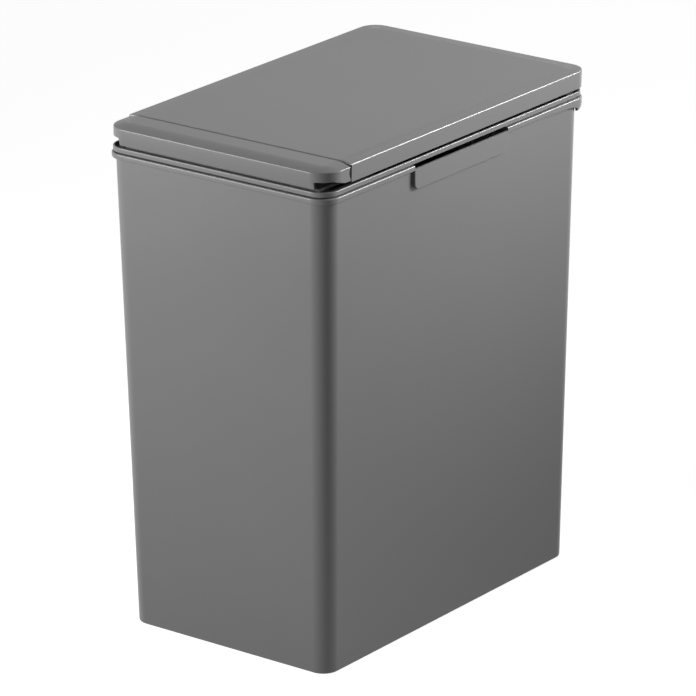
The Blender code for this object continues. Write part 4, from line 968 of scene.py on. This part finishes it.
# %% Cells, pads, pins and diodes
for number in range(1, 5):
    low_end, high_end = middle_line(f"battery_cell_{number}", X)
    spring = sum(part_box(f"contact_spring_{number}"), Vector()) / 2
    if (spring - low_end).length > (spring - high_end).length:
        low_end, high_end = high_end, low_end
    cell = lathe(f"cell_{number}", low_end, high_end, CELL)
    seat(smooth(cell), "upper_frame", "battery_wrap", f"battery_cell_{number}")
    second_finish(cell, steel, lambda c, a=low_end.x, b=high_end.x:
                  min(abs(c.x - a), abs(c.x - b)) < cell_cap)

round_parts = (
    ("foot_pad", "1234", Z, False, PAD, "bucket", "soft_rubber"),
    ("lid_bumper", ("left", "right"), Z, False, BUMPER, "upper_frame", "soft_rubber"),
    ("hinge_pin", ("left", "right"), X, False, PIN, "upper_frame", "bright_steel"),
    ("infrared", ("emitter", "receiver"), Y, True, DIODE, "lid", "window_plastic"))
for kind, endings, axis, faces_low, profile, body, slot in round_parts:
    for ending in endings:
        name = f"{kind}_{ending}"
        start, end = middle_line(name, axis)
        if faces_low:
            start, end = end, start
        turned = lathe(f"{name}_turned", start, end, profile)
        seat(smooth(turned), body, slot, name)

# %% [markdown]
# A circuit board is a glass-fibre sheet with its parts soldered on. A picture of one could lie on
# a flat plate, but small blocks in rows read as a board from any side, and one Boolean union per
# part keeps the mesh closed. Faces above the sheet get the dark finish of the parts.

# %% Boards
part_rise = 0.05 * MM


def make_board(name, body, parts, up):
    """A board with (x, y, z, width, depth, height) blocks in mm, the face up along an axis."""
    low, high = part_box(name)
    board = box(f"{name}_made", low, high)
    for number, (x, y, z, width, depth, height) in enumerate(parts):
        corner_low = Vector((x, y, z)) * MM
        join(board, box(f"{name} part {number}", corner_low,
                        corner_low + Vector((width, depth, height)) * MM))
    settle(board, width=0.12 * MM, segments=2)
    seat(board, body, "board_green", name)
    second_finish(board, dark_plastic, lambda c: (c + board.location)[up] > high[up] + part_rise)


control_z = 293.2
control_parts = [(-7.5, 108, 6, 6, 1.6), (1, 110, 3, 5, 1.2), (-7, 118, 4, 3, 1.2),
                 (0, 119, 4.5, 4.5, 3.4), (-8, 124, 8, 4, 2.8), (-8, 100, 2, 1.2, 0.8),
                 (-4, 100, 2, 1.2, 0.8), (0, 100, 2, 1.2, 0.8), (2.5, 103.5, 1.2, 2, 0.8),
                 (-8, 104, 1.2, 2, 0.8), (-1, 125.5, 1.6, 1.6, 1.2)]
make_board("control_board", "upper_frame",
           [(x, y, control_z, width, depth, height)
            for x, y, width, depth, height in control_parts], Z)
sensor_y, sensor_depth = -133.3, 0.45
sensor_parts = [(-20, 329, 3, 2.2), (-14, 330, 2, 1.2), (-10, 328.5, 1.2, 2), (-2, 329, 4, 4),
                (5, 332.6, 2, 1.2), (16, 329, 1.2, 2), (19, 330, 2.5, 2.5)]
make_board("sensor_board", "lid", [(x, sensor_y, z, width, sensor_depth, height)
                                   for x, z, width, height in sensor_parts], Y)

# %% [markdown]
# The window is a smoked plate with rounded corners, and the lead behind it is a flat ribbon: seven
# fine wires whose covers are moulded together, here rods joined by a thin web. The knob of the
# switch has ribs, which give a finger its grip. Three grooves cut into a block leave them.

# %% Window, ribbon and switch knob
window = box("window_plate", window_low, window_high)
settle(window, width=0.7 * MM, segments=4)
seat(window, "lid", "window_plastic", "sensor_window")

lead_low, lead_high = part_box("sensor_lead")
wires, wire_radius, wire_sides = 7, 0.39 * MM, 12
pitch = (lead_high.x - lead_low.x) / wires
lead_z = (lead_low.z + lead_high.z) / 2
web_inset, web_half = 0.4 * MM, 0.15 * MM
ribbon = box("ribbon", (lead_low.x + web_inset, lead_low.y, lead_z - web_half),
             (lead_high.x - web_inset, lead_high.y, lead_z + web_half))
for number in range(wires):
    x = lead_low.x + pitch * (number + 0.5)
    join(ribbon, rod(f"wire {number}", (x, lead_low.y, lead_z), (x, lead_high.y, lead_z),
                     wire_radius, sides=wire_sides))
settle(ribbon, width=0.05 * MM, segments=1)
seat(ribbon, "lid", "dark_plastic", "sensor_lead")

knob_low, knob_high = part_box("power_switch")
knob = box("switch_knob", knob_low, knob_high)
grooves, groove_start, groove_pitch = 3, 0.55 * MM, 0.8 * MM
groove_width, groove_depth, beyond = 0.35 * MM, 0.4 * MM, 1 * MM
for number in range(grooves):
    x = knob_low.x + groove_start + groove_pitch * number
    cut(knob, box(f"knob groove {number}", (x, knob_low.y - beyond, knob_low.z - beyond),
                  (x + groove_width, knob_low.y + groove_depth, knob_high.z + beyond)))
settle(knob, width=0.12 * MM, segments=2)
seat(knob, "power_switch", "white_plastic", "power_switch")

# %% [markdown]
# The rest of the mechanism, such as gears, springs, screws and the tray, keeps its plain solids,
# whose shapes are right. Each gets its finish and a fine bevel, which is a modifier and leaves
# the solid itself alone. One loop does it all, since a name is enough to pick the finish.

# %% Finish of the carried pieces
fine_bevel, fine_angle, carried_sharp = 0.12 * MM, math.radians(40), math.radians(30)
dark_parts = ("drive_tray", "battery_case", "battery_door", "switch_body")
white_parts = ("gearbox_case", "shaft_bush", "drive_pinion", "sector_gear")
finished = dict.fromkeys(dark_parts, dark_plastic) | dict.fromkeys(white_parts, white_plastic)
for name, node in frame["nodes"].items():
    if node.hide_render:
        continue
    paint(node, finished.get(name, steel))
    node.data.shade_smooth()
    node.data.set_sharp_from_angle(angle=carried_sharp)
    bevel = node.modifiers.new("fine bevel", "BEVEL")
    bevel.width = fine_bevel
    bevel.segments = 2
    bevel.limit_method = "ANGLE"
    bevel.angle_limit = fine_angle
print("carried pieces:", sum(not node.hide_render for node in frame["nodes"].values()))

# %% [markdown]
# A product picture stands on a white sweep. White paper could be lit until it is white, but that
# light would also fall on the bin. So the floor glows white for the camera and for mirrors, over
# paper that keeps the bin's shadow, and for all other light it is a mid grey.

# %% Floor
floor_half, floor_grey, floor_rough = 6, 0.18, 0.9
paper_white, paper_glow = 0.92, 0.86


def clear_view(tree):
    """1 for what the camera, a mirror or a glass sees, and 0 for the light on the object."""
    path = tree.nodes.new("ShaderNodeLightPath")
    bent = math_node(tree, "MAXIMUM", path.outputs["Is Glossy Ray"],
                     path.outputs["Is Transmission Ray"])
    return math_node(tree, "MAXIMUM", path.outputs["Is Camera Ray"], bent), path


def swap_shaders(tree, share, plain, seen, surface):
    """Show one shader where the share is 0, and the other where it is 1."""
    swap = tree.nodes.new("ShaderNodeMixShader")
    tree.links.new(share, swap.inputs["Fac"])
    tree.links.new(plain.outputs[0], swap.inputs[1])
    tree.links.new(seen.outputs[0], swap.inputs[2])
    tree.links.new(swap.outputs[0], surface)


def make_floor():
    bm = bmesh.new()
    bmesh.ops.create_grid(bm, x_segments=1, y_segments=1, size=floor_half)
    floor = add("floor", bm)
    material, tree, shader = new_material("white sweep")
    shader.inputs["Base Color"].default_value = (floor_grey, floor_grey, floor_grey, 1)
    shader.inputs["Roughness"].default_value = floor_rough
    paper = tree.nodes.new("ShaderNodeBsdfDiffuse")
    paper.inputs["Color"].default_value = (paper_white, paper_white, paper_white, 1)
    glow = tree.nodes.new("ShaderNodeEmission")
    glow.inputs["Strength"].default_value = paper_glow
    seen = tree.nodes.new("ShaderNodeAddShader")
    tree.links.new(paper.outputs[0], seen.inputs[0])
    tree.links.new(glow.outputs[0], seen.inputs[1])
    swap_shaders(tree, clear_view(tree)[0], shader, seen,
                 tree.nodes["Material Output"].inputs["Surface"])
    paint(floor, material)
    return floor


floor = make_floor()
print("floor:", tuple(round(v, 1) for v in floor.dimensions), "m")

# %% [markdown]
# The air is a world shader. It has the same two sides as the floor: white where the camera looks
# and nearly white in a mirror, and a weak even light for everything else. A brighter world would
# wash the shape out, so the lamps do the lighting.

# %% World
air_light, air_mirrored, air_seen = 0.12, 0.8, 1.0
WHITE = (1, 1, 1, 1)


def make_world():
    world = bpy.data.worlds.new("studio")
    bpy.context.scene.world = world
    world.use_nodes = True
    tree = world.node_tree
    room = tree.nodes["Background"]
    room.inputs["Color"].default_value = WHITE
    room.inputs["Strength"].default_value = air_light
    white = tree.nodes.new("ShaderNodeBackground")
    white.inputs["Color"].default_value = WHITE
    clear, path = clear_view(tree)
    tree.links.new(ramp(tree, path.outputs["Is Camera Ray"], air_mirrored, air_seen),
                   white.inputs["Strength"])
    swap_shaders(tree, clear, room, white, tree.nodes["World Output"].inputs["Surface"])


make_world()
print("world light:", air_light)

# %% [markdown]
# Two soft boxes stand to the sides of the two faces that the camera sees, so that each face is
# lit at a low angle and the rounded edge between them stays dark. A third, weak one hangs above.

# %% Lamps


def soft_box(name, place, target, size, power, spread=180):
    """A square area lamp at a place, turned to a target, in metres, watts and degrees."""
    lamp = bpy.data.lights.new(name, "AREA")
    lamp.shape = "RECTANGLE"
    lamp.size, lamp.size_y = size, size
    lamp.energy = power
    lamp.spread = math.radians(spread)
    obj = bpy.data.objects.new(name, lamp)
    obj.location = place
    obj.rotation_euler = (Vector(target) - Vector(place)).to_track_quat("-Z", "Y").to_euler()
    bpy.context.scene.collection.objects.link(obj)
    return obj


soft_box("left box", (0.56, 0.84, 0.46), (0, 0.14, 0.5), size=0.4, power=3.6, spread=110)
soft_box("right box", (-0.66, -0.78, 0.7), (-0.09, -0.08, 0.88), size=0.4, power=11.5, spread=100)
soft_box("top box", (-0.5, -0.2, 1.5), (-0.1, -0.05, 0.33), size=0.2, power=0.3)

# %% [markdown]
# The photograph was taken from far away with a long lens, so the bin's edges are almost
# parallel. The camera stands at the azimuth and elevation of that view, and is rolled by a
# fraction of a degree. These numbers come from fitting the bin's main edges to the picture, which
# is surer than turning a camera by hand until it looks right.

# %% Camera
azimuth, elevation, roll = math.radians(217.336), math.radians(19.603), math.radians(-0.399)
camera_place = (-2.0507, 2.69235, 1.3719)
focal_pixels, picture_width, sensor_width = 5538.3, 696, 36


def make_camera():
    back = Vector((math.sin(azimuth) * math.cos(elevation),
                   -math.cos(azimuth) * math.cos(elevation), math.sin(elevation)))
    right = Vector((math.cos(azimuth), math.sin(azimuth), 0))
    up = back.cross(right)
    turned_right = right * math.cos(roll) + up * math.sin(roll)
    turned_up = up * math.cos(roll) - right * math.sin(roll)
    data = bpy.data.cameras.new("camera")
    data.sensor_width = sensor_width
    data.lens = focal_pixels * data.sensor_width / picture_width
    camera = bpy.data.objects.new("camera", data)
    axes = Matrix((turned_right, turned_up, back)).transposed().to_4x4()
    camera.matrix_world = Matrix.Translation(camera_place) @ axes
    bpy.context.scene.collection.objects.link(camera)
    bpy.context.scene.camera = camera
    return camera


camera = make_camera()
print("camera:", [round(v, 3) for v in camera.location], "lens", round(camera.data.lens, 1))
bpy.context.scene.view_settings.view_transform = "Standard"
